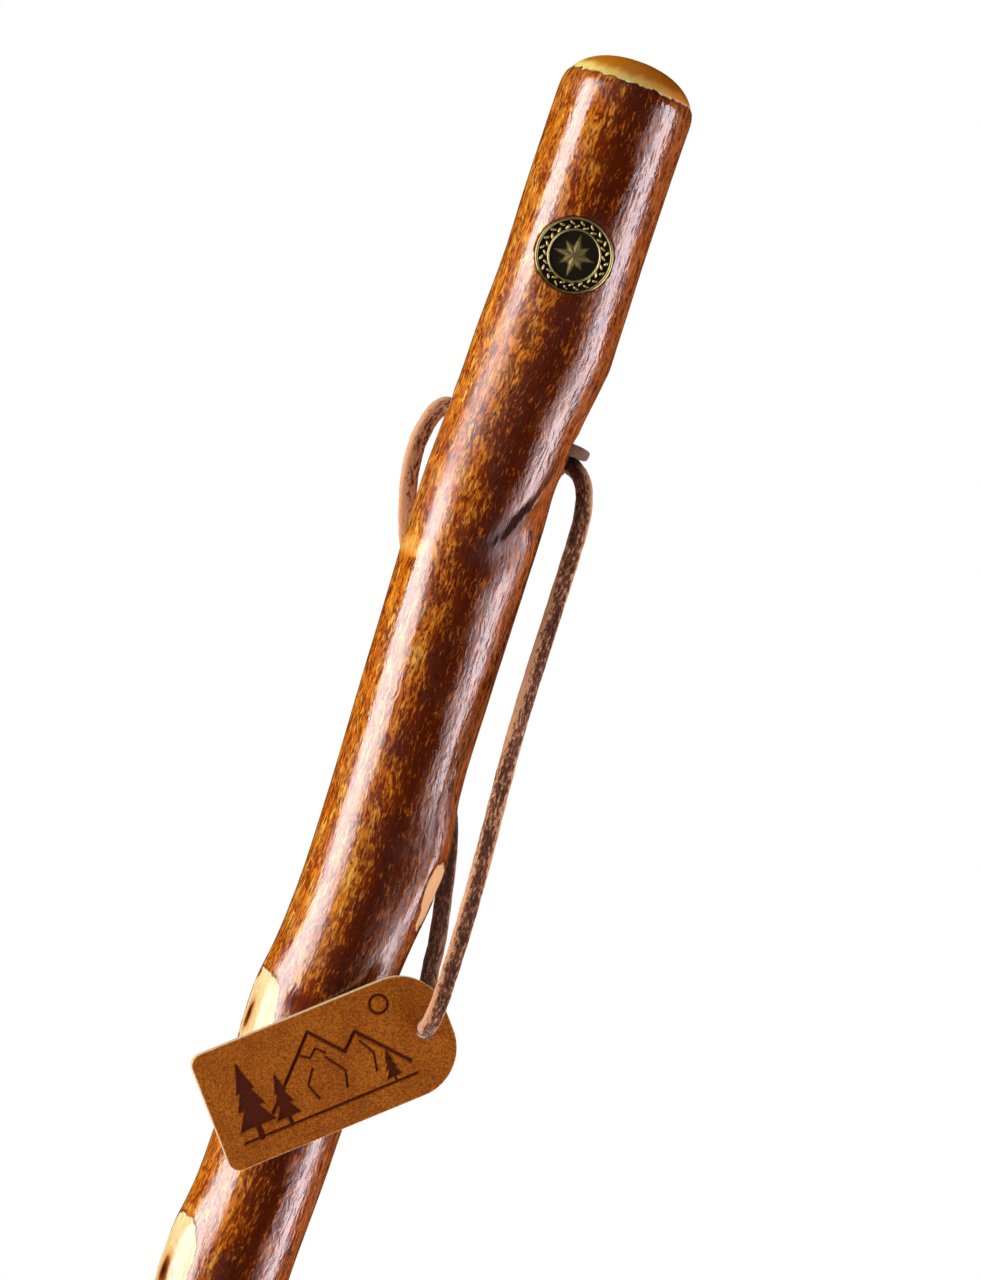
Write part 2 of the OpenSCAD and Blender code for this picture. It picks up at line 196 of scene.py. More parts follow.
def ease(value, low, high):
    """Smooth step from 0 at low to 1 at high."""
    t = np.clip((np.asarray(value, float) - low) / (high - low), 0, 1)
    return t * t * (3 - 2 * t)


def hold(piece, body, slot, *nodes):
    """Fixes a piece to its body and hides the CAD nodes that it stands for. The slot is not used."""
    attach(piece, body)
    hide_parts(*nodes)


# Camera: square on to the front, rolled so that the staff leans as in the photograph

AIM_MM = (15.46, 0.0, 1248.6)
FRAME_HEIGHT = 0.3193
CAMERA_DISTANCE = 1.6
LEAN = math.radians(19.717)

camera = plain_object("camera", bpy.data.cameras.new("camera"))
camera.data.sensor_width = 36
camera.data.lens = camera.data.sensor_width * CAMERA_DISTANCE / FRAME_HEIGHT
camera.data.clip_start, camera.data.clip_end = 0.05, 60
view_turn = Matrix.Rotation(-LEAN, 4, "Y") @ Matrix.Rotation(math.radians(90), 4, "X")
camera.matrix_world = Matrix.Translation(Vector(AIM_MM) * MM + Vector((0, -CAMERA_DISTANCE, 0))) @ view_turn
bpy.context.scene.camera = camera
bpy.context.scene.view_settings.view_transform = "Standard"


# Suede lace: brushed calf suede, cut as a square-edged thong. The nap is matt and dusty, paler along
# the rubbed edges, and darkened with painted shade where it leaves the bore and where it runs low behind
# the stick.

LACE_FLOOR_MM = 96.9
LACE_MM = [
    (19.6, 9, 100.6), (21.2, 6.2, 101.2), (23.2, 3.4, 102.8), (25.2, 1.8, 106.2), (26.8, 0.4, 113),
    (27.5, -1.6, 125), (27.9, -3.4, 137), (29.1, -8.2, 167), (31.7, -13, 197), (33, -16.2, 215),
    (33.6, -18.2, 228), (33.8, -19.1, 236), (33.5, -17.4, 242), (32.7, -12.8, 244.1),
    (31.5, -8.2, 242.6), (30.2, -5.2, 236.6), (29, -3.4, 230), (28, -1.2, 222), (23.5, 6.8, 202),
    (19.2, 11.8, 190), (15, 15.2, 178), (9, 18.1, 166), (2, 19.2, 155), (-4.4, 17.6, 145.4),
    (-9.4, 14.2, 137.4), (-12.9, 10.3, 131), (-15.6, 6.2, 123.6), (-17.6, 2.8, 115.6), (-18.3, 1, 108.4),
    (-17.7, 0.3, 103), (-16.6, 0.1, 99.2), (-14.8, 0, 97.1), (-12.4, 0, LACE_FLOOR_MM),
    (-4, 0, LACE_FLOOR_MM), (8, 0, LACE_FLOOR_MM), (16, 0, LACE_FLOOR_MM),
    (18.8, 0.6, LACE_FLOOR_MM), (20.6, 2.8, 96.9), (21, 5.8, 96.9), (20.2, 8.8, 97),
]
# Points of that route in the tag's hole and in the bore
LACE_AT_HOLE, LACE_AT_BORE = 13, 33
LACE_WIDE_MM, LACE_THICK_MM = 4.4, 2.9
LACE_PARTS = 8
LACE_SIDES = 24
# 1 is a round section, and less is squarer
LACE_SQUARE = 0.55
LACE_FACES, LACE_FACES_IN_BORE = (0.35, -0.94, 0), (0, 0, 1)
LACE_TURN = 0.15
HOLE_SWELL, HOLE_FAT, HOLE_RUN_MM = 0.1, 0.62, 1.9
# Waves along the lace: height, radians in each mm, and phase. The twist is an angle, the rest are shares.
LACE_TWIST = [(0.22, 1 / 17, 0), (0.13, 1 / 7, 1)]
LACE_RIPPLE = [(0.03, 0.9, 0), (0.02, 2.3, 1)]
LACE_RUBBING = [(0.7, 1 / 13, 0.7)]
# Paling of the left loop, and painted shade in the bore's right mouth and low behind the stick: its share,
# and the places in mm between which it comes in, to the side, in depth or as a drop
LEFT_LOOP_PALING, LEFT_LOOP_MM = 0.45, (-9, -14)
BORE_SHADE, BORE_DROPS_MM = 0.8, (100.5, 98.5)
BACK_SHADE, BACK_DEPTHS_MM, BACK_DROPS_MM = 0.6, (-9, -5), (185, 195)


def suede(name, dark, mid, pale):
    """Napped suede: pale rubbed edges, dark flecks along the middle, soft fibrous bump."""
    made, tree = start_material(name)
    run = add(tree, "Attribute", attribute_name="run").outputs["Vector"]
    edge, pressed = [
        add(tree, "Attribute", attribute_name=layer).outputs["Fac"] for layer in ("edge", "pressed")
    ]
    # Flecks 0.56 mm wide and 1.4 mm long, a nap of 0.15 mm drawn at 0.3 mm so that it shows, and patches
    # of 11 mm
    fleck_run = add(tree, "Mapping", {"Vector": run, "Scale": (1.8, 1.8, 0.7)})
    fleck = add(tree, "TexNoise", {"Vector": fleck_run, "Scale": 1.0, "Detail": 3.0})
    nap = add(tree, "TexNoise", {"Vector": run, "Scale": 3.3, "Detail": 2.0})
    patch = add(tree, "TexNoise", {"Vector": run, "Scale": 0.09, "Detail": 1.0})
    tone = fleck
    for part, share in ((edge, 0.3), (nap, 0.35), (patch, 0.25)):
        tone = add(tree, "Math", {0: part, 1: share, 2: tone}, operation="MULTIPLY_ADD")
    colour = add(tree, "ValToRGB", {"Fac": tone}, stops=[(0.7, dark), (0.88, mid), (1.0, pale)])
    # Painted shade: the lace turns to its dark colour in the bore's right mouth and behind the stick
    colour = add(tree, "Mix", {0: pressed, 6: colour, 7: linear(dark)}, data_type="RGBA")
    height = add(tree, "Math", {0: nap, 1: fleck}, operation="ADD")
    bump = add(tree, "Bump", {"Height": height, "Strength": 0.7, "Distance": 0.25 * MM})
    surface = add(tree, "BsdfPrincipled", {
        "Base Color": colour, "Roughness": 0.95, "Specular IOR Level": 0.2, "Sheen Weight": 0.3,
        "Sheen Roughness": 0.5, "Normal": bump,
    })
    add(tree, "OutputMaterial", {"Surface": surface})
    return made


suede_lace = suede("brushed_suede", "#3c1e11", "#824a2c", "#d29a6e")
# The knot's suede is the lace's suede made darker: painted shade for the knot tucked behind the stick
shaded_knot_suede = suede("brushed_suede_knot_in_shade", "#321810", "#5a3423", "#8a5f46")


def smooth_route(route, parts):
    """Points on one smooth line through a route, as the CAD lace has."""
    slopes = np.gradient(route, axis=0)
    line = []
    for here, there, leaving, coming in zip(route, route[1:], slopes, slopes[1:]):
        for t in np.arange(parts) / parts:
            blend, lead, lag = t * t * (3 - 2 * t), t * (1 - t) ** 2, t * t * (1 - t)
            line.append(here + (there - here) * blend + leaving * lead - coming * lag)
    return np.array(line + [route[-1]])


def run_along(line):
    """Length along a line up to each of its points."""
    return np.concatenate([[0], np.cumsum(np.linalg.norm(np.diff(line, axis=0), axis=1))])


def waves(s, terms):
    """Sum of the waves at a length s in mm along the lace."""
    return sum(height * math.sin(rate * s + phase) for height, rate, phase in terms)


def sweep_thong(name, line, wide, thick, facing, material, tight=None):
    """A square-edged thong swept along a line in mm. Its broad side eases towards a direction, and round the
    tight point of the line it is bunched up and rounded."""
    ways = np.gradient(line, axis=0)
    ways /= np.linalg.norm(ways, axis=1)[:, None]
    run = run_along(line)
    angle = ring_angles(LACE_SIDES)
    facings = np.broadcast_to(np.array(facing, float), line.shape)
    up = facings[0] - ways[0] * (facings[0] @ ways[0])
    rings, local, edges = [], [], []
    for point, way, s, broad in zip(line, ways, run, facings):
        up = up - way * (up @ way)
        up /= np.linalg.norm(up)
        wanted = broad - way * (broad @ way)
        up = up + LACE_TURN * wanted * (1 if up @ wanted >= 0 else -1)
        up /= np.linalg.norm(up)
        turn = waves(s, LACE_TWIST)
        out = up * math.cos(turn) + np.cross(way, up) * math.sin(turn)
        flat = np.cross(out, way)
        bunched = 0 if tight is None else math.exp(-(((s - run[tight]) / HOLE_RUN_MM) ** 4))
        square = LACE_SQUARE + (1 - LACE_SQUARE) * bunched
        across, through = [np.sign(c) * np.abs(c) ** square for c in (np.cos(angle), np.sin(angle))]
        ripple = 1 + waves(s, LACE_RIPPLE)
        x = across * wide / 2 * min(ripple, 1.0) * (1 + HOLE_SWELL * bunched)
        y = through * thick / 2 * ripple * (1 + HOLE_FAT * bunched)
        rings.append(point + np.outer(x, flat) + np.outer(y, out))
        local.append(np.stack([x, y, np.full(LACE_SIDES, s)], 1))
        edges.append(np.clip(np.abs(across) ** 3 + across * waves(s, LACE_RUBBING), 0, 1))
    points, faces = ring_skin(rings)
    piece = make_piece(name, points * MM, faces, material)
    keep_values(piece, "run", np.concatenate(local))
    keep_values(piece, "edge", np.concatenate(edges))
    face_outwards(piece)
    return piece


def pale_and_shade_lace(lace):
    """Makes the left loop paler, and paints shade on the lace in the bore's right mouth and low behind the
    stick.
    """
    x, y, z = points_of(lace).T / MM
    drop = TOP_MM - z
    edge, layer = np.zeros(len(x), np.float32), lace.data.attributes["edge"].data
    layer.foreach_get("value", edge)
    layer.foreach_set("value", edge + LEFT_LOOP_PALING * ease(x, *LEFT_LOOP_MM))
    # Painted shade in the bore's right mouth and low behind the stick
    at_bore = BORE_SHADE * ease(drop, *BORE_DROPS_MM) * (x > 0)
    at_back = BACK_SHADE * ease(y, *BACK_DEPTHS_MM) * ease(drop, *BACK_DROPS_MM)
    keep_values(lace, "pressed", np.maximum(at_bore, at_back))


lace_route = np.array([(x, y, TOP_MM - drop) for x, y, drop in LACE_MM])
lace_line = smooth_route(lace_route, LACE_PARTS)
lace_facing = np.tile(LACE_FACES, (len(lace_line), 1))
lace_facing[LACE_AT_BORE * LACE_PARTS:] = LACE_FACES_IN_BORE
lace = sweep_thong(
    "lace", lace_line, LACE_WIDE_MM, LACE_THICK_MM, lace_facing, suede_lace, tight=LACE_AT_HOLE * LACE_PARTS
)
pale_and_shade_lace(lace)


# Knot of the lace: an overhand knot pulled tight, with one short tail

KNOT_MM = (18.6, 11.0, TOP_MM - 99.2)
KNOT_TURNS_MM, KNOT_DEEP = 0.66, 1.35
KNOT_TILT = Matrix.Rotation(math.radians(50), 3, (1, 0.3, 0.2))
KNOT_PARTS, TAIL_PARTS = 72, 6
KNOT_THONG_MM = 2.4
KNOT_TAIL_MM = [(0, 0, 0), (-0.6, 0.7, -2.2), (-1.3, 1.2, -4.2), (-1.8, 1.4, -5.6)]
KNOT_VOXEL_MM = 0.2
KNOT_RUBBED, KNOT_R_MM = 0.5, 5


def tie_knot():
    """Sweeps the knot's turns and tail and fuses them into one crumpled skin."""
    a = np.linspace(0, 2 * np.pi, KNOT_PARTS + 1)
    loop = [np.sin(a) + 2 * np.sin(2 * a), np.cos(a) - 2 * np.cos(2 * a), -KNOT_DEEP * np.sin(3 * a)]
    middle = np.array(KNOT_MM)
    loop = middle + KNOT_TURNS_MM * np.stack(loop, 1) @ np.array(KNOT_TILT)
    tail = middle + smooth_route(np.array(KNOT_TAIL_MM, float), TAIL_PARTS)
    knot = sweep_thong("knot", loop, KNOT_THONG_MM, KNOT_THONG_MM, (0, 0, 1), shaded_knot_suede)
    end = sweep_thong("knot_tail", tail, KNOT_THONG_MM, KNOT_THONG_MM, (1, 0, 0), shaded_knot_suede)
    work = bmesh.new()
    work.from_mesh(knot.data)
    work.from_mesh(end.data)
    work.to_mesh(knot.data)
    work.free()
    bpy.data.objects.remove(end)
    remesh = knot.modifiers.new("fuse", "REMESH")
    remesh.mode, remesh.voxel_size, remesh.use_smooth_shade = "VOXEL", KNOT_VOXEL_MM * MM, True
    knot.modifiers.new("relax", "SMOOTH").iterations = 3
    settle(knot)
    knot.data.materials.clear()
    knot.data.materials.append(shaded_knot_suede)
    place = points_of(knot) / MM
    keep_values(knot, "run", place)
    far = np.linalg.norm(place - middle, axis=1)
    keep_values(knot, "edge", KNOT_RUBBED * np.clip(far / KNOT_R_MM, 0, 1))
    return knot


knot = tie_knot()
hold(lace, "staff", "suede", "lace_front", "lace_back", "lace_bore")
hold(knot, "staff", "suede", "lace_knot")


# The stick: rings read off its CAD solid, with the bark's own relief worked over them

STICK_SIDES = 120
GRIP_STEP_MM, LOWER_STEP_MM = 1.0, 3.0
GRIP_FOOT_MM, CROWN_MM = TOP_MM - 350, 12.0
CROWN_FULLNESS = 2.2
# Rows over the crown, which close up towards its top
CROWN_ROWS, CROWN_CLOSING = 18, 1.6
CROWN_BLEND_MM, CROWN_BLEND_DROP_MM = (0, 0.6), CROWN_MM + 2
SPIGOT_ROWS_MM = (0.02, 0.5, 4, 12, 20)
BARK_FOOT_MM, BARK_END_MM = 37.3, 37.6
BARK_EDGE_DROP_MM = 7.2
BORE_Z_MM, BORE_MM = TOP_MM - 96.0, 6.4
# Drills start and end clear of the stick
DRILL_LEFT_MM, DRILL_RIGHT_MM, DRILL_FRONT_MM = -30, 34, -30
MEDAL_LOW, MEDAL_HIGH = [np.array(c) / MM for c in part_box("medallion")]
MEDAL_MM = (MEDAL_LOW + MEDAL_HIGH) / 2
MEDAL_R_MM = (MEDAL_HIGH[0] - MEDAL_LOW[0]) / 2
POCKET_GAP_MM = 0.1
# Skin this near to the bore or the pocket isn't read
BORE_CLEAR_MM, POCKET_CLEAR_MM = 1.2, 1.3
# Rays that read the skin start this far from the stick's middle
OUTSIDE_MM = 40
SKIN_ROUNDS, MIDDLE_ROUNDS = 2, 8
RIDGE_MM, SWELLING_MM, BARK_THICK_MM, FOLD_DEPTH_MM = 0.12, 0.35, 0.35, 0.18
# The bark's thickness ends between these depths inside bare wood, and on the crown this share of it stays
BARK_STEP_MM, BARK_ON_CROWN = (-0.6, 0.5), 0.5
# Marks are laid out on a round bar of this radius
GRAIN_R_MM = 15.0
# Stands for no eye near, in eye sizes
EYE_FAR = 9.0
PATCH_FULLNESS = 2.2

# Trimmed knots: drop, angle from the front, half width and half height of the bare wood, then the
# dark eye's half width, half height and shift up, all in mm and degrees
BARE_PATCHES = [
    (211, 73, 4.6, 6.8, 0.0, 0.0, 0.0), (254, -63, 7.4, 10.0, 0.0, 0.0, 0.0),
    (256, -71, 1.0, 1.0, 1.6, 3.1, 0.0), (320, -62, 8.0, 12.0, 0.0, 0.0, 0.0),
    (323, -63, 1.0, 1.0, 1.9, 3.5, 0.0), (342, 62, 7.0, 10.5, 1.8, 3.4, 0.0),
    (636, 72, 4.0, 7.0, 0.0, 0.0, 0.0), (698, 16, 10.4, 12.5, 3.0, 4.6, -1.0),
    (754, -62, 5.0, 8.5, 0.0, 0.0, 0.0), (830, 38, 8.0, 13.0, 2.4, 4.6, -1.0),
    (946, 40, 6.0, 9.5, 1.6, 2.8, 0.0), (1233, -48, 6.0, 9.0, 1.6, 2.8, 0.0),
    (1233, 66, 6.0, 9.0, 1.6, 2.8, 0.0),
]
# Tails of bare wood where the knife ran out: drop, angle, half width, half height
BARE_STRIPS = [
    (217, 76, 2.2, 6.0), (708, -15, 2.4, 11.0), (747, -68, 1.3, 6.5), (748, -54, 1.2, 5.5),
    (845, 50, 1.8, 7.0),
]
# Folds and scars in the bark: drop, angle, half width, half height, lean in mm for each mm up, and
# darkness, which is below zero for a pale scar. For the fold at drop 112 and its foot at drop 121 the
# darkness is painted shade in the hollow; for the other marks it is the scar's own colour
BARK_SCARS = [
    (112, 48, 1.5, 13.0, 0.45, 0.75), (121, 35, 4.0, 8.0, 0.4, 0.6), (133, -64, 8.0, 2.8, 0.1, -0.75),
    (249, -17, 3.2, 2.8, 0.3, 0.7), (584, 0, 3.0, 3.4, 0.0, 1.0), (683.5, 20, 7.0, 1.8, 0.0, 0.9),
    (686, -6, 5.0, 1.8, 0.0, 0.9), (787, -34, 3.0, 4.0, 0.0, 1.0), (799, 31, 1.4, 14.0, -0.18, 0.95),
    (818, -19, 2.5, 3.0, 0.0, 1.0),
]
# Lengths where the varnish was brushed out thin: drop, angle, half width, half height and how thin it is
THIN_VARNISH = [
    (6, -30, 20.0, 9.0, 0.6), (89, -36, 13.0, 40.0, 0.85), (240, -34, 13.0, 102.0, 0.3),
    (180, 58, 14.0, 175.0, 0.22), (214, 52, 12.0, 28.0, 0.55), (124, 38, 9.0, 9.0, 0.95),
    (620, -36, 13.0, 190.0, 0.5), (960, 50, 14.0, 240.0, 0.5), (1150, -40, 13.0, 130.0, 0.6),
]
# The bark's patterns: width and length in mm, detail, distortion, and whether they wander with the fibres
BARK_PATTERNS = {
    "patch": (2.941, 6.25, 4.0, 0.0, True), "dash": (0.5263, 2.5, 4.0, 0.9, True),
    "streak": (1.25, 7.1429, 3.0, 0.0, True), "fibre": (0.4348, 3.125, 3.0, 0.3, True),
    "vein": (0.4545, 16.667, 2.0, 0.0, True), "wrinkle": (1.0, 2.9412, 2.0, 0.6, True),
    "crack": (0.5882, 9.0909, 2.0, 0.0, True), "mottle": (7.1429, 14.286, 3.0, 0.0, False),
    "torn_edge": (2.941, 3.3333, 4.0, 0.0, False),
}


def fill_gaps(values, known, rounds=400):
    """Replaces the unknown cells of a grid that closes around by a smooth skin over them."""
    out = np.where(known, values, np.nan)
    rows = np.nonzero(~known.all(1))[0]
    low, high = max(rows[0] - 2, 0), rows[-1] + 3
    block, fixed = out[low:high].copy(), known[low:high]
    block[~fixed] = np.nanmean(block)
    for _ in range(rounds):
        around = (np.roll(block, 1, 1) + np.roll(block, -1, 1)) / 2
        along = np.vstack([block[:1], (block[2:] + block[:-2]) / 2, block[-1:]])
        block = np.where(fixed, block, (around + along) / 2)
    out[low:high] = block
    return out


def soften(values, rounds):
    """Takes the CAD facets off a grid that closes around."""
    for _ in range(rounds):
        values = (np.roll(values, 1, 1) + 2 * values + np.roll(values, -1, 1)) / 4
        values[1:-1] = (values[:-2] + 2 * values[1:-1] + values[2:]) / 4
    return values


def read_stick():
    """Heights, middles and radii of the stick's rings from the CAD solid, bore and pocket filled, in mm,
    and the ways out from the middle."""
    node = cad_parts["shaft"].data
    solid = BVHTree.FromPolygons([v.co for v in node.vertices], [p.vertices for p in node.polygons])
    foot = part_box("shaft")[0].z / MM
    heights = np.concatenate([
        foot + np.array(SPIGOT_ROWS_MM), [BARK_FOOT_MM - 1, BARK_FOOT_MM + 1],
        np.arange(BARK_FOOT_MM + 3, GRIP_FOOT_MM, LOWER_STEP_MM),
        np.arange(GRIP_FOOT_MM, TOP_MM - CROWN_MM, GRIP_STEP_MM),
    ])
    angles = ring_angles(STICK_SIDES)
    ways = np.stack([np.sin(angles), -np.cos(angles)], 1)

    def ring_at(z, middle):
        """The skin's points round a middle, and which of them lie clear of bore and pocket."""
        hits = []
        for way in ways:
            start = Vector((*(middle + way * OUTSIDE_MM), z)) * MM
            hits.append(solid.ray_cast(start, Vector((-way[0], -way[1], 0)))[0])
        ring = [hit[:2] if hit else (middle + way * GRAIN_R_MM) * MM for hit, way in zip(hits, ways)]
        ring = np.array(ring) / MM
        near_bore = np.hypot(ring[:, 1], z - BORE_Z_MM) < BORE_MM / 2 + BORE_CLEAR_MM
        near_medal = np.hypot(ring[:, 0] - MEDAL_MM[0], z - MEDAL_MM[2]) < MEDAL_R_MM + POCKET_CLEAR_MM
        missed = np.array([hit is None for hit in hits])
        return ring, ~(missed | near_bore | (near_medal & (ring[:, 1] < 0)))

    middles, whole = np.zeros((len(heights), 2)), np.zeros(len(heights), bool)
    for i, z in enumerate(heights):
        ring, clear = ring_at(z, middles[max(i - 1, 0)])
        whole[i] = clear.all()
        middles[i] = (ring.max(0) + ring.min(0)) / 2 if whole[i] else middles[i - 1]
    for k in (0, 1):
        middles[:, k] = np.interp(heights, heights[whole], middles[whole, k])
    for _ in range(MIDDLE_ROUNDS):
        middles[1:-1] = (middles[:-2] + 2 * middles[1:-1] + middles[2:]) / 4
    rings, known = zip(*[ring_at(z, middle) for z, middle in zip(heights, middles)])
    radii = np.linalg.norm(np.array(rings) - middles[:, None], axis=2)
    return heights, middles, soften(fill_gaps(radii, np.array(known)), SKIN_ROUNDS), ways


HEIGHTS, MIDDLES, RADII, WAYS = read_stick()


def bark_marks(place):
    """For points of the stick in mm: the grain's run, depth inside bare wood, distance from a knot's eye in
    eye sizes, darkness of scars with the painted shade of folds, the share of crown wood, and how thin the
    varnish is."""
    x = place[:, 0] - np.interp(place[:, 2], HEIGHTS, MIDDLES[:, 0])
    y = place[:, 1] - np.interp(place[:, 2], HEIGHTS, MIDDLES[:, 1])
    angle, drop = np.arctan2(x, -y), TOP_MM - place[:, 2]
    grain = np.stack([GRAIN_R_MM * np.sin(angle), -GRAIN_R_MM * np.cos(angle), place[:, 2]], 1)

    def across(centre):
        """Distance round the stick from an angle."""
        return (np.mod(angle - math.radians(centre) + np.pi, 2 * np.pi) - np.pi) * GRAIN_R_MM

    bare = np.maximum(BARK_EDGE_DROP_MM - drop, BARK_END_MM - place[:, 2])
    eye = np.full(len(place), EYE_FAR)
    for at, centre, half_w, half_h, eye_w, eye_h, shift in BARE_PATCHES:
        u, v = across(centre), at - drop
        out = np.abs(u / half_w) ** PATCH_FULLNESS + np.abs(v / half_h) ** PATCH_FULLNESS
        bare = np.maximum(bare, (1 - out ** (1 / PATCH_FULLNESS)) * half_w)
        if eye_w:
            eye = np.minimum(eye, np.hypot(u / eye_w, (v - shift) / eye_h))
    for at, centre, half_w, half_h in BARE_STRIPS:
        inside = 1 - np.hypot(across(centre) / half_w, (at - drop) / half_h)
        bare = np.maximum(bare, inside * min(half_w, half_h))
    scar, thin = np.zeros(len(place)), np.zeros(len(place))
    for at, centre, half_w, half_h, lean, dark in BARK_SCARS:
        u, v = across(centre) - lean * (at - drop), at - drop
        scar += dark * np.exp(-((u / half_w) ** 4) - (v / half_h) ** 4)
    for at, centre, half_w, half_h, share in THIN_VARNISH:
        u, v = across(centre), at - drop
        thin = np.maximum(thin, share * np.exp(-((u / half_w) ** 4) - (v / half_h) ** 4))
    crown = ease(bare, *CROWN_BLEND_MM) * (drop < CROWN_BLEND_DROP_MM)
    return grain, bare, eye, scar, crown, thin


def build_stick():
    """The stick's skin from foot to crown, before its bore and pocket are cut."""
    shares = np.linspace(1, 0, CROWN_ROWS, endpoint=False)[1:] ** CROWN_CLOSING
    full = (1 - (1 - shares) ** CROWN_FULLNESS) ** (1 / CROWN_FULLNESS)
    middles = list(MIDDLES) + [MIDDLES[-1]] * len(shares)
    radii = list(RADII) + [RADII[-1] * share for share in full]
    levels = list(HEIGHTS) + list(TOP_MM - CROWN_MM * shares)
    points, faces = ring_skin([
        np.column_stack([middle + WAYS * radius[:, None], np.full(STICK_SIDES, z)])
        for middle, radius, z in zip(middles, radii, levels)
    ])
    # The last ring closes in a point instead of a cap
    count = len(points)
    last = count - STICK_SIDES
    faces[-1:] = [(last + j, last + (j + 1) % STICK_SIDES, count) for j in range(STICK_SIDES)]
    points = np.vstack([points, (*MIDDLES[-1], TOP_MM - 0.01)])
    stick = make_piece("stick", points * MM, faces)
    grain, bare, _, scar, crown, _ = bark_marks(points)
    keep_values(stick, "grain", grain)
    keep_values(stick, "scar", scar)
    keep_values(stick, "bark", 1 - ease(bare, *BARK_STEP_MM) * (1 - BARK_ON_CROWN * crown))
    face_outwards(stick)
    return stick


def bark_relief(material):
    """Geometry Nodes: raises the bark's ridges and slow swellings, and sinks folds and bare wood."""
    tree, sizes = start_tool(
        "bark_relief", Ridge_height="Float", Swelling_height="Float", Bark_thickness="Float",
        Fold_depth="Float",
    )
    grain = add(tree, "GeometryNodeInputNamedAttribute", {"Name": "grain"}, data_type="FLOAT_VECTOR")
    bark, scar = [
        add(tree, "GeometryNodeInputNamedAttribute", {"Name": layer}, data_type="FLOAT")
        for layer in ("bark", "scar")
    ]
    # Ridges 2.2 mm wide and 14 mm long, swellings 10 mm wide and 25 mm long
    parts = []
    for height, run in (("Ridge_height", (0.45, 0.45, 0.07)), ("Swelling_height", (0.1, 0.1, 0.04))):
        scaled = add(tree, "VectorMath", {0: grain, 1: run}, operation="MULTIPLY")
        noise = add(tree, "TexNoise", {"Vector": scaled, "Scale": 1.0, "Detail": 1.5})
        level = add(tree, "Math", {0: noise, 1: 0.5}, operation="SUBTRACT")
        parts.append(add(tree, "Math", {0: level, 1: sizes[height]}, operation="MULTIPLY"))
    raised = add(tree, "Math", {0: parts[0], 1: parts[1]}, operation="ADD")
    on_bark = add(tree, "Math", {0: raised, 1: bark}, operation="MULTIPLY")
    sunk = add(tree, "Math", {0: bark, 1: 1.0}, operation="SUBTRACT")
    bare = add(tree, "Math", {0: sunk, 1: sizes["Bark_thickness"]}, operation="MULTIPLY")
    fold = add(tree, "Math", {0: scar, 1: sizes["Fold_depth"]}, operation="MULTIPLY")
    height = add(tree, "Math", {0: on_bark, 1: bare}, operation="ADD")
    height = add(tree, "Math", {0: height, 1: fold}, operation="SUBTRACT")
    normal = add(tree, "GeometryNodeInputNormal")
    shift = add(tree, "VectorMath", {0: normal, "Scale": height}, operation="SCALE")
    moved = add(tree, "GeometryNodeSetPosition", {"Geometry": sizes["Geometry"], "Offset": shift})
    end_tool(tree, moved, material)
    return tree


def cut_round(piece, radius_mm, start_mm, end_mm):
    """Drills a round hole between two points in mm."""
    start, end = Vector(start_mm) * MM, Vector(end_mm) * MM
    turn = (end - start).to_track_quat("Z", "Y").to_matrix().to_4x4()
    pose = Matrix.Translation((start + end) / 2) @ turn
    drill = plain_shape(
        "drill", bmesh.ops.create_cone, cap_ends=True, segments=72, radius1=radius_mm * MM,
        radius2=radius_mm * MM, depth=(end - start).length, matrix=pose,
    )
    cut = piece.modifiers.new("cut", "BOOLEAN")
    cut.operation, cut.solver, cut.object = "DIFFERENCE", "EXACT", drill
    settle(piece)
    bpy.data.objects.remove(drill)


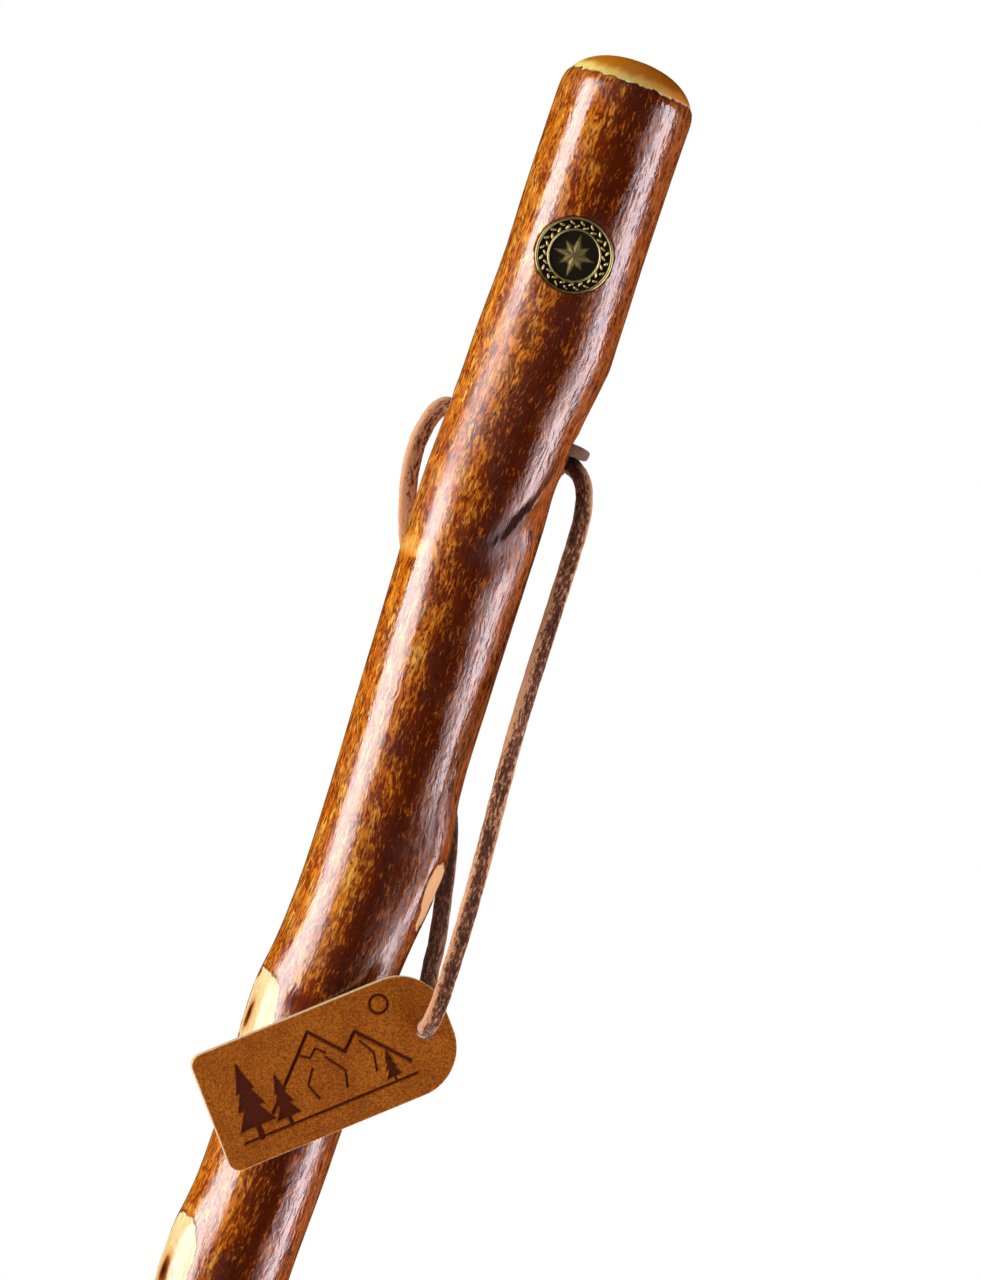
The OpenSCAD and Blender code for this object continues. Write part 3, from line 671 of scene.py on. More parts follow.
def varnished_bark():
    """Bark of a smooth-barked hardwood under clear gloss varnish: golden inner bark that shows through a
    torn red-brown skin, thin on the lamp-lit left side and whole and darker on the front as painted shade,
    pale sapwood where knots and crown are trimmed, and a wet-looking coat."""
    made, tree = start_material("varnished_bark")
    grain = add(tree, "Attribute", attribute_name="grain").outputs["Vector"]
    depth, eye, scar, crown, thin = [
        add(tree, "Attribute", attribute_name=layer).outputs["Fac"]
        for layer in ("bare", "eye", "scar", "crown", "thin")
    ]

    # The fibres wander sideways by about 1 mm over 8 mm
    drift = add(tree, "TexNoise", {"Vector": grain, "Scale": 0.12, "Detail": 2.0}).outputs["Color"]
    sway = add(tree, "VectorMath", {0: drift, 1: (0.5, 0.5, 0.5)}, operation="SUBTRACT")
    wavy = add(tree, "VectorMath", {0: sway, 1: (2, 2, 2), 2: grain}, operation="MULTIPLY_ADD")
    noise = {}
    for name, (wide, long, detail, twist, wanders) in BARK_PATTERNS.items():
        run = add(tree, "Mapping", {
            "Vector": wavy if wanders else grain, "Scale": (1 / wide, 1 / wide, 1 / long),
        })
        noise[name] = add(tree, "TexNoise", {
            "Vector": run, "Scale": 1.0, "Detail": detail, "Distortion": twist,
        })
    streak, mottle = noise["streak"], noise["mottle"]

    # Round the stick from the left side through the front to the right side, with a ragged border. Its
    # shade is painted shade: none on the lamp-lit left side, and most in a dark core right of the front
    place = add(tree, "SeparateXYZ", {"Vector": grain}).outputs
    turn = add(tree, "MapRange", {
        "Value": place["X"], "From Min": -GRAIN_R_MM, "From Max": GRAIN_R_MM,
    })
    ragged = add(tree, "Math", {0: mottle, 1: 0.5}, operation="SUBTRACT")
    border = add(tree, "Math", {0: ragged, 1: 0.3, 2: turn}, operation="MULTIPLY_ADD")
    shade = add(tree, "ValToRGB", {"Fac": border}, stops=[
        (0.25, "#000000"), (0.4, "#707070"), (0.5, "#dedede"), (0.6, "#ffffff"), (0.72, "#e7e7e7"),
        (0.85, "#b3b3b3"), (1.0, "#909090"),
    ])
    lee = add(tree, "MapRange", {"Value": border, "From Min": 0.66, "From Max": 0.9})

    # Skin over gold: patches broken into dashes, thicker towards the front as painted shade and at dark
    # scars, and gone at pale scars
    broken = add(tree, "Math", {0: noise["dash"], 1: 0.68}, operation="MULTIPLY")
    flake = add(tree, "Math", {0: noise["patch"], 1: 0.32, 2: broken}, operation="MULTIPLY_ADD")
    thick = add(tree, "Math", {0: shade, 1: 0.13, 2: flake}, operation="MULTIPLY_ADD")
    thick = add(tree, "Math", {0: scar, 1: 0.22, 2: thick}, operation="MULTIPLY_ADD")
    skin = add(tree, "MapRange", {"Value": thick, "From Min": 0.45, "From Max": 0.57, "To Max": 0.96})
    gold = add(tree, "ValToRGB", {"Fac": streak}, stops=[
        (0.32, "#c8640e"), (0.5, "#e4861a"), (0.68, "#f6b850"),
    ])
    russet = add(tree, "ValToRGB", {"Fac": streak}, stops=[
        (0.35, "#451505"), (0.5, "#8c3f16"), (0.65, "#b86a34"),
    ])
    # Painted shade: the umber and the rust darken from the lamp-lit left side towards the front
    umber = add(tree, "Mix", {0: shade, 6: gold, 7: linear("#c4640f")}, data_type="RGBA")
    umber = add(tree, "Mix", {0: lee, 6: umber, 7: linear("#b9662c")}, data_type="RGBA")
    lit_left_rust, shaded_front_rust = linear("#7c2808"), linear("#441004")
    rust = add(tree, "Mix", {0: shade, 6: lit_left_rust, 7: shaded_front_rust}, data_type="RGBA")
    rust = add(tree, "Mix", {0: lee, 6: rust, 7: russet}, data_type="RGBA")
    bark = add(tree, "Mix", {0: skin, 6: umber, 7: rust}, data_type="RGBA")

    # Over it dark fibres, pale scars, flecks 0.7 mm by 1.3 mm in drifts, and near-black in dark scars and
    # in folds, where it is painted shade
    line = add(tree, "MapRange", {
        "Value": noise["fibre"], "From Min": 0.5, "From Max": 0.34, "To Max": 0.6,
    })
    pale = add(tree, "Math", {0: scar, 1: flake}, operation="MULTIPLY")
    pale = add(tree, "MapRange", {"Value": pale, "From Min": -0.2, "From Max": -0.45, "To Max": 0.7})
    fleck_run = add(tree, "Mapping", {"Vector": wavy, "Scale": (0.75, 0.75, 0.4)})
    fleck = add(tree, "TexVoronoi", {"Vector": fleck_run, "Scale": 1.0})
    spot = add(tree, "MapRange", {"Value": fleck, "From Min": 0.36, "From Max": 0.16, "To Max": 0.8})
    drifts = add(tree, "MapRange", {"Value": mottle, "From Min": 0.42, "From Max": 0.6})
    flecks = add(tree, "Math", {0: spot, 1: drifts}, operation="MULTIPLY")
    # Painted shade in the folds, and the dark scars' own colour, near-black along the scar marks
    fold = add(tree, "Math", {0: scar, 1: streak}, operation="MULTIPLY")
    fold = add(tree, "MapRange", {"Value": fold, "From Min": 0.2, "From Max": 0.5, "To Max": 0.9})
    for share, tint in ((line, "#4a1706"), (pale, "#efc060"), (flecks, "#3a1205"), (fold, "#1c0904")):
        bark = add(tree, "Mix", {0: share, 6: bark, 7: linear(tint)}, data_type="RGBA")

    # Bare sapwood inside a torn edge: fine straight grain, tanned on the lee side, aged to honey low down,
    # with rings round a knot's dark eye
    edge_step = add(tree, "Math", {0: noise["torn_edge"], 1: 0.5}, operation="SUBTRACT")
    depth = add(tree, "Math", {0: edge_step, 1: 3.0, 2: depth}, operation="MULTIPLY_ADD")
    bare = add(tree, "MapRange", {"Value": depth, "From Min": -0.12, "From Max": 0.12})
    wood = add(tree, "ValToRGB", {"Fac": noise["vein"]}, stops=[
        (0.3, "#d9b468"), (0.5, "#ebd094"), (0.7, "#f3e2b4"),
    ])
    honey = add(tree, "MapRange", {
        "Value": place["Z"], "From Min": 950.0, "From Max": 750.0, "To Max": 0.8,
    })
    eye_edge = add(tree, "Math", {0: edge_step, 1: 0.9, 2: eye}, operation="MULTIPLY_ADD")
    ring_run = add(tree, "CombineXYZ", {"X": eye_edge})
    ring = add(tree, "TexWave", {"Vector": ring_run, "Scale": 0.6}).outputs["Fac"]
    near = add(tree, "MapRange", {"Value": eye, "From Min": 3.4, "From Max": 1.0, "To Max": 0.45})
    rings = add(tree, "Math", {0: ring, 1: near}, operation="MULTIPLY")
    halo = add(tree, "MapRange", {"Value": eye_edge, "From Min": 2.1, "From Max": 1.05, "To Max": 0.75})
    ringed = add(tree, "Math", {0: rings, 1: halo}, operation="MAXIMUM")
    in_eye = add(tree, "MapRange", {"Value": eye_edge, "From Min": 1.15, "From Max": 0.95})
    heart = add(tree, "ValToRGB", {"Fac": eye}, stops=[
        (0.2, "#200d06"), (0.5, "#5a280e"), (1.0, "#8a4716"),
    ])
    tan, amber, ring_brown = linear("#eab582"), linear("#f2ac3c"), linear("#b8601a")
    for share, tint in ((lee, tan), (honey, amber), (ringed, ring_brown), (in_eye, heart)):
        wood = add(tree, "Mix", {0: share, 6: wood, 7: tint}, data_type="RGBA")

    # Crown: a pale band of sapwood over the bark's edge and deeper gold above, the top's deeper tone partly
    # painted shade on its upward-facing dome; both turn darker towards the right side as painted shade
    above = add(tree, "MapRange", {"Value": depth, "From Min": 1.2, "From Max": 3.0})
    band, deep_top_and_shade = [
        add(tree, "Mix", {0: border, 6: linear(lit), 7: linear(dim)}, data_type="RGBA")
        for lit, dim in (("#ffe27c", "#b06c1e"), ("#d8860f", "#8e4a08"))
    ]
    top = add(tree, "Mix", {0: above, 6: band, 7: deep_top_and_shade}, data_type="RGBA")
    top = add(tree, "Mix", {0: 0.3, 6: top, 7: wood}, data_type="RGBA", blend_type="SOFT_LIGHT")
    wood = add(tree, "Mix", {0: crown, 6: wood, 7: top}, data_type="RGBA")
    colour = add(tree, "Mix", {0: bare, 6: bark, 7: wood}, data_type="RGBA")

    # Dark torn rim of the bark, heavier in places
    outer = add(tree, "MapRange", {"Value": depth, "From Min": -0.8, "From Max": -0.1})
    inner = add(tree, "MapRange", {"Value": depth, "From Min": 0.3, "From Max": 0.0})
    torn = add(tree, "MapRange", {
        "Value": streak, "From Min": 0.4, "From Max": 0.6, "To Min": 0.25, "To Max": 0.85,
    })
    rim = add(tree, "Math", {0: outer, 1: inner}, operation="MULTIPLY")
    rim = add(tree, "Math", {0: rim, 1: torn}, operation="MULTIPLY")
    colour = add(tree, "Mix", {0: rim, 6: colour, 7: linear("#3a1a08")}, data_type="RGBA")

    # The varnish nearly fills the bark's wrinkles on the weather side and follows them on the lee side
    level = add(tree, "Math", {0: 1.0, 1: bare}, operation="SUBTRACT")
    wrinkles = add(tree, "Math", {0: noise["wrinkle"], 1: level}, operation="MULTIPLY")
    ridged = add(tree, "MapRange", {"Value": border, "From Min": 0.45, "From Max": 0.75})
    telling = add(tree, "MapRange", {"Value": ridged, "To Min": 0.16, "To Max": 0.38})
    over = add(tree, "Bump", {"Height": wrinkles, "Strength": telling, "Distance": 0.4 * MM})

    # It is dull in folds and cracks, poor where it was brushed out thin, soaked into bare wood, and hazy
    # in drifts
    split = add(tree, "MapRange", {
        "Value": noise["crack"], "From Min": 0.42, "From Max": 0.36, "To Max": 0.7,
    })
    cracks = add(tree, "Math", {0: split, 1: ridged}, operation="MULTIPLY")
    dull = add(tree, "Math", {0: fold, 1: cracks}, operation="MAXIMUM")
    gloss = add(tree, "MapRange", {"Value": dull, "From Max": 0.8, "To Min": 1.0, "To Max": 0.03})
    worn = add(tree, "MapRange", {"Value": thin, "From Min": 0.5, "To Min": 1.0, "To Max": 0.5})
    soaked = add(tree, "MapRange", {"Value": bare, "To Min": 1.0, "To Max": 0.65})
    for share in (worn, soaked):
        gloss = add(tree, "Math", {0: gloss, 1: share}, operation="MULTIPLY")
    haze = add(tree, "MapRange", {
        "Value": mottle, "From Min": 0.38, "From Max": 0.62, "To Min": 0.06, "To Max": 0.2,
    })
    haze = add(tree, "Math", {0: thin, 1: 0.2, 2: haze}, operation="MULTIPLY_ADD")
    surface = add(tree, "BsdfPrincipled", {
        "Base Color": colour, "Roughness": 0.6, "Specular IOR Level": 0.0, "Coat Weight": gloss,
        "Coat Roughness": haze, "Coat IOR": 2.0, "Coat Normal": over,
    })
    add(tree, "OutputMaterial", {"Surface": surface})
    return made


stick = build_stick()
use_tool(
    stick, bark_relief(varnished_bark()), Ridge_height=RIDGE_MM * MM, Swelling_height=SWELLING_MM * MM,
    Bark_thickness=BARK_THICK_MM * MM, Fold_depth=FOLD_DEPTH_MM * MM,
)
cut_round(stick, BORE_MM / 2, (DRILL_LEFT_MM, 0, BORE_Z_MM), (DRILL_RIGHT_MM, 0, BORE_Z_MM))
pocket_start, pocket_end = [(MEDAL_MM[0], y, MEDAL_MM[2]) for y in (DRILL_FRONT_MM, MEDAL_HIGH[1])]
cut_round(stick, MEDAL_R_MM + POCKET_GAP_MM, pocket_start, pocket_end)
# The marks are taken again at the final points, which the cuts have changed
for layer in ("grain", "bark", "scar"):
    stick.data.attributes.remove(stick.data.attributes[layer])
stick_marks = bark_marks(points_of(stick) / MM)
for layer, values in zip(("grain", "bare", "eye", "scar", "crown", "thin"), stick_marks):
    keep_values(stick, layer, values)
hold(stick, "staff", "bark_wood", "shaft")


# Medallion: struck brass, chemically darkened and rubbed bright on its high parts

MEDAL_FACE_MM = MEDAL_HIGH[1] - MEDAL_LOW[1]
MEDAL_SIDES = 192
MEDAL_FIELD_DEPTH_MM = 0.5
# Rings of points over the face: first and last radius, and how many, closer where the face steps
MEDAL_RINGS = [(0.02, 6.0, 50), (6.1, 7.0, 14), (7.2, 8.7, 8), (8.8, 9.75, 16)]
# Radii between which the rim rises and then falls off, and the share that it loses there
RIM_RISE_MM, RIM_FALL_MM, RIM_LOSS = (8.85, 9.15), (9.5, 9.75), 0.6
RING_R_MM, RING_HALF_MM, RING_HIGH_MM = 6.45, 0.28, 0.45
DOME_MM, DOME_HIGH_MM = (5.9, 1.0), 0.14
LEAVES = 40
LEAF_RING_MM, LEAF_LONG_MM, LEAF_WIDE_MM, LEAF_HIGH_MM = 7.7, 1.55, 0.66, 0.4
LEAF_LEAN = math.radians(38)
LEAF_SUNK_MM, LEAF_SHINE = 0.03, 0.7
STAR_POINTS = 8
STAR_LONG_MM, STAR_SHORT_MM, STAR_WAIST_MM = 5.9, 4.4, 2.5
STAR_HIGH_MM, STAR_STEP_MM = 0.46, 0.12


def antique_brass():
    """Brass with a brown-olive patina that stays in the low parts, worn to warm metal on the high ones."""
    made, tree = start_material("antique_brass")
    high = add(tree, "Attribute", attribute_name="high").outputs["Fac"]
    place = add(tree, "TexCoord").outputs["Object"]
    # Blotches of patina about 1 mm across and rubbing marks of 0.2 mm
    blotch = add(tree, "TexNoise", {"Vector": place, "Scale": 1 / MM, "Detail": 3.0})
    grit = add(tree, "TexNoise", {"Vector": place, "Scale": 5 / MM, "Detail": 2.0})
    wear = add(tree, "Math", {0: blotch, 1: 0.5, 2: high}, operation="MULTIPLY_ADD")
    colour = add(tree, "ValToRGB", {"Fac": wear}, stops=[
        (0.35, "#251a0a"), (0.65, "#8e783c"), (0.95, "#f0dc92"),
    ])
    metal = add(tree, "MapRange", {"Value": wear, "From Min": 0.3, "To Min": 0.55, "To Max": 0.95})
    rough = add(tree, "MapRange", {"Value": wear, "From Min": 0.3, "To Min": 0.6, "To Max": 0.36})
    bump = add(tree, "Bump", {"Height": grit, "Strength": 0.3, "Distance": 0.05 * MM})
    surface = add(tree, "BsdfPrincipled", {
        "Base Color": colour, "Metallic": metal, "Roughness": rough, "Normal": bump,
    })
    add(tree, "OutputMaterial", {"Surface": surface})
    return made


def medal_height(r, a):
    """Height of the medallion's face in mm at radius r and angle a: rim, ring, dome and compass star."""
    rim = MEDAL_FIELD_DEPTH_MM * ease(r, *RIM_RISE_MM) * (1 - RIM_LOSS * ease(r, *RIM_FALL_MM))
    ring = RING_HIGH_MM * np.exp(-(((r - RING_R_MM) / RING_HALF_MM) ** 4))
    field = DOME_HIGH_MM * ease(r, *DOME_MM)
    slot = 2 * np.pi / STAR_POINTS
    spoke = np.round(a / slot)
    off = np.abs(a - spoke * slot)
    reach = np.where(spoke % 2 == 0, STAR_LONG_MM, STAR_SHORT_MM)
    # Straight flank from the tip of a point to the waist between two points
    flank = reach * np.sin(off) + STAR_WAIST_MM * np.sin(slot / 2 - off)
    inside = 1 - r * flank / (reach * STAR_WAIST_MM * np.sin(slot / 2))
    star = STAR_HIGH_MM * np.clip(inside, 0, 1) + STAR_STEP_MM * ease(inside, 0, 0.06)
    face = MEDAL_FACE_MM - MEDAL_FIELD_DEPTH_MM
    return face + np.minimum(rim + ring + np.maximum(field, star), MEDAL_FIELD_DEPTH_MM)


def build_medallion(material):
    """The struck disc: face, side and back in one skin."""
    radii = np.concatenate([np.linspace(*rings) for rings in MEDAL_RINGS])
    angle = ring_angles(MEDAL_SIDES)
    rings = [(r * MEDAL_R_MM / radii[-1], medal_height(np.full(MEDAL_SIDES, r), angle)) for r in radii]
    # The side and the back's rounded edge
    for r, h in ((MEDAL_R_MM, MEDAL_FACE_MM - 0.6), (MEDAL_R_MM, 0.3), (MEDAL_R_MM - 0.25, 0)):
        rings.append((r, np.full(MEDAL_SIDES, h)))
    points, faces = ring_skin([
        np.stack([MEDAL_MM[0] + r * np.sin(angle), MEDAL_HIGH[1] - h, MEDAL_MM[2] + r * np.cos(angle)], 1)
        for r, h in rings
    ])
    disc = make_piece("medallion_struck", points * MM, faces, material)
    heights = np.concatenate([h for _, h in rings])
    keep_values(disc, "high", ease(heights, MEDAL_FACE_MM - MEDAL_FIELD_DEPTH_MM, MEDAL_FACE_MM))
    face_outwards(disc)
    return disc


def leaf_ring(material):
    """Geometry Nodes: adds a wreath of leaves, which lean in and out by turns, on the band of the disc. A
    leaf's size is its width, length and height in mm."""
    tree, sizes = start_tool(
        "leaf_ring", Leaves="Int", Ring_radius="Float", Lean="Float", Leaf_size="Vector"
    )
    ring = add(tree, "GeometryNodeMeshCircle", {"Vertices": sizes["Leaves"], "Radius": sizes["Ring_radius"]})
    ball = add(tree, "GeometryNodeMeshUVSphere", {"Segments": 12, "Rings": 8, "Radius": 0.5 * MM})
    half_long = (0, 0.5 * MM, 0)
    stalk = add(tree, "VectorMath", {0: sizes["Leaf_size"], 1: half_long}, operation="MULTIPLY")
    leaf = add(tree, "GeometryNodeTransform", {
        "Geometry": ball, "Translation": stalk, "Scale": sizes["Leaf_size"],
    })
    shaded = add(tree, "GeometryNodeSetShadeSmooth", {"Geometry": leaf})
    worn = add(
        tree, "GeometryNodeStoreNamedAttribute", {"Geometry": shaded, "Name": "high", "Value": LEAF_SHINE},
        data_type="FLOAT", domain="POINT",
    )
    place = add(tree, "SeparateXYZ", {"Vector": add(tree, "GeometryNodeInputPosition")}).outputs
    round_ring = add(tree, "Math", {0: place["Y"], 1: place["X"]}, operation="ARCTAN2")
    odd = add(tree, "Math", {0: add(tree, "GeometryNodeInputIndex"), 1: 2.0}, operation="MODULO")
    way = add(tree, "Math", {0: odd, 1: 2.0, 2: -1.0}, operation="MULTIPLY_ADD")
    turn = add(tree, "Math", {0: way, 1: sizes["Lean"], 2: round_ring}, operation="MULTIPLY_ADD")
    pose = add(tree, "CombineXYZ", {"Z": turn})
    leaves = add(tree, "GeometryNodeInstanceOnPoints", {"Points": ring, "Instance": worn, "Rotation": pose})
    depth = MEDAL_LOW[1] + LEAF_HIGH_MM + LEAF_SUNK_MM
    middle = tuple(c * MM for c in (MEDAL_MM[0], depth, MEDAL_MM[2]))
    placed = add(tree, "GeometryNodeTransform", {
        "Geometry": leaves, "Translation": middle, "Rotation": (math.radians(90), 0, 0),
    })
    joined = add(tree, "GeometryNodeJoinGeometry", {"Geometry": [sizes["Geometry"], placed]})
    end_tool(tree, joined, material)
    return tree


brass = antique_brass()
medallion = build_medallion(brass)
use_tool(
    medallion, leaf_ring(brass), Leaves=LEAVES, Ring_radius=LEAF_RING_MM * MM, Lean=LEAF_LEAN,
    Leaf_size=(LEAF_WIDE_MM, LEAF_LONG_MM, LEAF_HIGH_MM * 2),
)
hold(medallion, "staff", "aged_brass", "medallion")


# Tag: vegetable-tanned leather, dyed tan, hot-stamped and cut with a die

TAG_HOLE_MM = (32.7, -12.8562, 1152.9)
TAG_POSE = (
    Matrix.Translation(Vector(TAG_HOLE_MM) * MM) @ Matrix.Rotation(math.radians(12), 4, "Z")
    @ Matrix.Rotation(math.radians(90), 4, "X") @ Matrix.Rotation(math.radians(41), 4, "Z")
)
TAG_LEFT_MM, TAG_RIGHT_MM, TAG_HALF_MM, TAG_THICK_MM = -57.8, 6.2, 15.5, 2.6
TAG_CORNER_MM, TAG_END_MM, TAG_HOLE_R_MM = 3.0, 12.5, 2.6
# Right of this the corners are those of the round end
TAG_ROUND_FROM_MM = -25
TAG_ROUND_MM, TAG_ROUND_SHARE = 0.55, 0.8
# Raw leather shows from the cut edge to this far in
TAG_RAW_MM = (0.22, 0.02)
TAG_CELL_MM = 0.25
# Rows of points along the edges, in from them
TAG_EDGE_ROWS_MM = np.array([0.0, 0.1, 0.25, 0.45, 0.7, 1.0])
STAMP_DEPTH_MM = 0.5
# Between these depths inside the design the face slopes down, and the dye darkens
STAMP_BEVEL_MM, STAMP_DYE_MM = (-0.25, 0.25), (-0.05, 0.25)
GROUND_MM = -9.5
SUN_MM, SUN_R_MM, SUN_HALF_MM = (-9, 10.2), 2.3, 0.4
# Strokes of the ground, the peaks and their ridges: points and half width
STAMP_STROKES_MM = [
    ([(-52, GROUND_MM), (-6, GROUND_MM)], 0.4),
    ([(-43, -5), (-28, 10.5), (-21, 2.4), (-17, 6.2), (-6.5, -6)], 0.55),
    ([(-32, 5.8), (-29.6, 4.2), (-27.6, 6), (-25.6, 4)], 0.35),
    ([(-26, 3), (-22.5, -2), (-23.5, -6)], 0.35),
    ([(-30, 1.5), (-32.5, -2), (-31, -6)], 0.35),
    ([(-16.6, 3.4), (-14.4, -0.5), (-15.2, -5)], 0.35),
]
# Firs: place of the foot and height, then their tiers' foot, top and half width as shares of the height
FIRS_MM = [(-47.5, 20.0), (-39.5, 14.0), (-11.5, 9.0)]
FIR_TIERS = [(0.14, 0.58, 0.25), (0.38, 0.8, 0.19), (0.6, 1.0, 0.13)]
FIR_TRUNK, FIR_TRUNK_HALF = 0.3, 0.045


def tag_inset(x, y):
    """Distance of points of the tag from its cut edges in mm."""
    corner = np.where(x > TAG_ROUND_FROM_MM, TAG_END_MM, TAG_CORNER_MM)
    middle, half = (TAG_LEFT_MM + TAG_RIGHT_MM) / 2, (TAG_RIGHT_MM - TAG_LEFT_MM) / 2
    qx, qy = np.abs(x - middle) - half + corner, np.abs(y) - TAG_HALF_MM + corner
    outer = np.minimum(np.maximum(qx, qy), 0) + np.hypot(np.maximum(qx, 0), np.maximum(qy, 0)) - corner
    return np.minimum(-outer, np.hypot(x, y) - TAG_HOLE_R_MM)


def inside_triangle(x, y, a, b, c):
    """Distance of points inside a triangle whose corners run anticlockwise, negative outside, in mm."""
    depths = []
    for (x0, y0), (x1, y1) in ((a, b), (b, c), (c, a)):
        depths.append(((x1 - x0) * (y - y0) - (y1 - y0) * (x - x0)) / math.hypot(x1 - x0, y1 - y0))
    return np.minimum.reduce(depths)


def inside_stroke(x, y, line, half):
    """Distance of points inside a stroke of some half width along a line, in mm."""
    depths = []
    for (x0, y0), (x1, y1) in zip(line, line[1:]):
        dx, dy = x1 - x0, y1 - y0
        t = np.clip(((x - x0) * dx + (y - y0) * dy) / (dx**2 + dy**2), 0, 1)
        depths.append(half - np.hypot(x - x0 - t * dx, y - y0 - t * dy))
    return np.maximum.reduce(depths)


def stamp_depth(x, y):
    """The stamped design: firs before two peaks on a ground line, under a sun. Positive inside, in mm."""
    depths = [SUN_HALF_MM - np.abs(np.hypot(x - SUN_MM[0], y - SUN_MM[1]) - SUN_R_MM)]
    depths += [inside_stroke(x, y, line, half) for line, half in STAMP_STROKES_MM]
    for foot, tall in FIRS_MM:
        trunk = [(foot, GROUND_MM), (foot, GROUND_MM + tall * FIR_TRUNK)]
        depths.append(inside_stroke(x, y, trunk, tall * FIR_TRUNK_HALF))
        for base, top, half in FIR_TIERS:
            low, high = GROUND_MM + base * tall, GROUND_MM + top * tall
            left, right = foot - half * tall, foot + half * tall
            depths.append(inside_triangle(x, y, (left, low), (right, low), (foot, high)))
    return np.maximum.reduce(depths)


def tan_leather():
    """Smooth-grain leather: fine pebbling, tan dye that gathers in the stamping, pale raw edges."""
    made, tree = start_material("tan_leather")
    stamp, cut = [
        add(tree, "Attribute", attribute_name=layer).outputs["Fac"] for layer in ("stamp", "cut")
    ]
    place = add(tree, "TexCoord").outputs["Object"]
    # Pebbles of 0.35 mm, drawn at 0.6 mm so that they show, specks of 0.4 mm and dye clouds of 10 mm
    pebble = add(tree, "TexVoronoi", {"Vector": place, "Scale": 1.7 / MM}, feature="SMOOTH_F1")
    speck = add(tree, "TexNoise", {"Vector": place, "Scale": 2.6 / MM, "Detail": 3.0})
    cloud = add(tree, "TexNoise", {"Vector": place, "Scale": 0.1 / MM, "Detail": 2.0})
    tone = add(tree, "Math", {0: cloud, 1: 0.4, 2: speck}, operation="MULTIPLY_ADD")
    hide = add(tree, "ValToRGB", {"Fac": tone}, stops=[
        (0.5, "#8c4403"), (0.7, "#ae5c06"), (0.9, "#c27214"),
    ])
    gap = add(tree, "MapRange", {"Value": pebble, "From Min": 0.35, "From Max": 0.6, "To Max": 0.5})
    raw_dark, raw_pale = linear("#cfa366"), linear("#f2dcb2")
    raw = add(tree, "Mix", {0: speck, 6: raw_dark, 7: raw_pale}, data_type="RGBA")
    for share, tint in ((gap, linear("#6e3204")), (stamp, linear("#561c03")), (cut, raw)):
        hide = add(tree, "Mix", {0: share, 6: hide, 7: tint}, data_type="RGBA")
    grain = add(tree, "Math", {0: pebble, 1: speck}, operation="ADD")
    bump = add(tree, "Bump", {"Height": grain, "Distance": 0.35 * MM}, invert=True)
    surface = add(tree, "BsdfPrincipled", {
        "Base Color": hide, "Roughness": 0.6, "Specular IOR Level": 0.1, "Normal": bump,
    })
    add(tree, "OutputMaterial", {"Surface": surface})
    return made


def build_tag(material):
    """The die-cut tag: two faces of rows that end on the outline, a rim between them, and a punched hole."""
    fine, inner = TAG_EDGE_ROWS_MM, TAG_HALF_MM - 1.3
    half_rows = np.concatenate([TAG_HALF_MM - fine, np.linspace(inner, 0, int(inner / TAG_CELL_MM))])
    rows = np.concatenate([-half_rows, half_rows[::-1][1:]])
    over = np.abs(rows) - TAG_HALF_MM
    left = TAG_LEFT_MM + TAG_CORNER_MM - np.sqrt(TAG_CORNER_MM**2 - np.maximum(over + TAG_CORNER_MM, 0) ** 2)
    right = TAG_RIGHT_MM - TAG_END_MM + np.sqrt(TAG_END_MM**2 - np.maximum(over + TAG_END_MM, 0) ** 2)
    count = int((TAG_RIGHT_MM - TAG_LEFT_MM) / TAG_CELL_MM)
    x = np.array([
        [*(low + fine), *np.linspace(low + fine[-1], high - fine[-1], count)[1:-1], *(high - fine[::-1])]
        for low, high in zip(left, right)
    ])
    y = np.repeat(rows[:, None], x.shape[1], 1)
    near = 1 - np.clip(tag_inset(x, y), 0, TAG_ROUND_MM) / TAG_ROUND_MM
    rounding = TAG_ROUND_SHARE * TAG_ROUND_MM * (1 - np.sqrt(1 - near**2 * 0.9999))
    front = TAG_THICK_MM / 2 - rounding - STAMP_DEPTH_MM * ease(stamp_depth(x, y), *STAMP_BEVEL_MM)
    back = -TAG_THICK_MM / 2 + rounding
    points = np.concatenate([np.stack([x, y, z], 2).reshape(-1, 3) for z in (front, back)])
    high, wide = x.shape
    index, behind = np.arange(high * wide).reshape(high, wide), high * wide
    faces = []
    for i in range(high - 1):
        for j in range(wide - 1):
            quad = (index[i, j], index[i, j + 1], index[i + 1, j + 1], index[i + 1, j])
            faces += [quad, tuple(q + behind for q in reversed(quad))]
    rim = np.concatenate([index[0], index[1:, -1], index[-1, -2::-1], index[-2:0:-1, 0]])
    faces += [(b, a, a + behind, b + behind) for a, b in zip(rim, np.roll(rim, -1))]
    tag = make_piece("tag_leather", points * MM, faces, material)
    face_outwards(tag)
    cut_round(tag, TAG_HOLE_R_MM, (0, 0, -5), (0, 0, 5))
    x, y, z = points_of(tag).T / MM
    keep_values(tag, "stamp", ease(stamp_depth(x, y), *STAMP_DYE_MM) * (z > 0))
    keep_values(tag, "cut", ease(tag_inset(x, y), *TAG_RAW_MM))
    tag.data.transform(TAG_POSE)
    return tag


tag = build_tag(tan_leather())
hold(tag, "tag", "tag_leather", "tag")


# Rubber tip: moulded nitrile, matt, with a rolled rim, two side ribs and a ringed sole

TIP_SIDES = 180
TIP_WAIST_MM, TIP_RIB_FOOT_MM, TIP_RIB_TOP_MM = 15.2, 24.6, 34
TIP_RIB_HALF_MM, TIP_RIB_OUT_MM = 2.5, 0.7
# Slopes of the ribs at their flanks and at their foot
TIP_RIB_FLANK_MM, TIP_RIB_RISE_MM = 0.35, 1.2
TIP_STEP_MM = 1.2
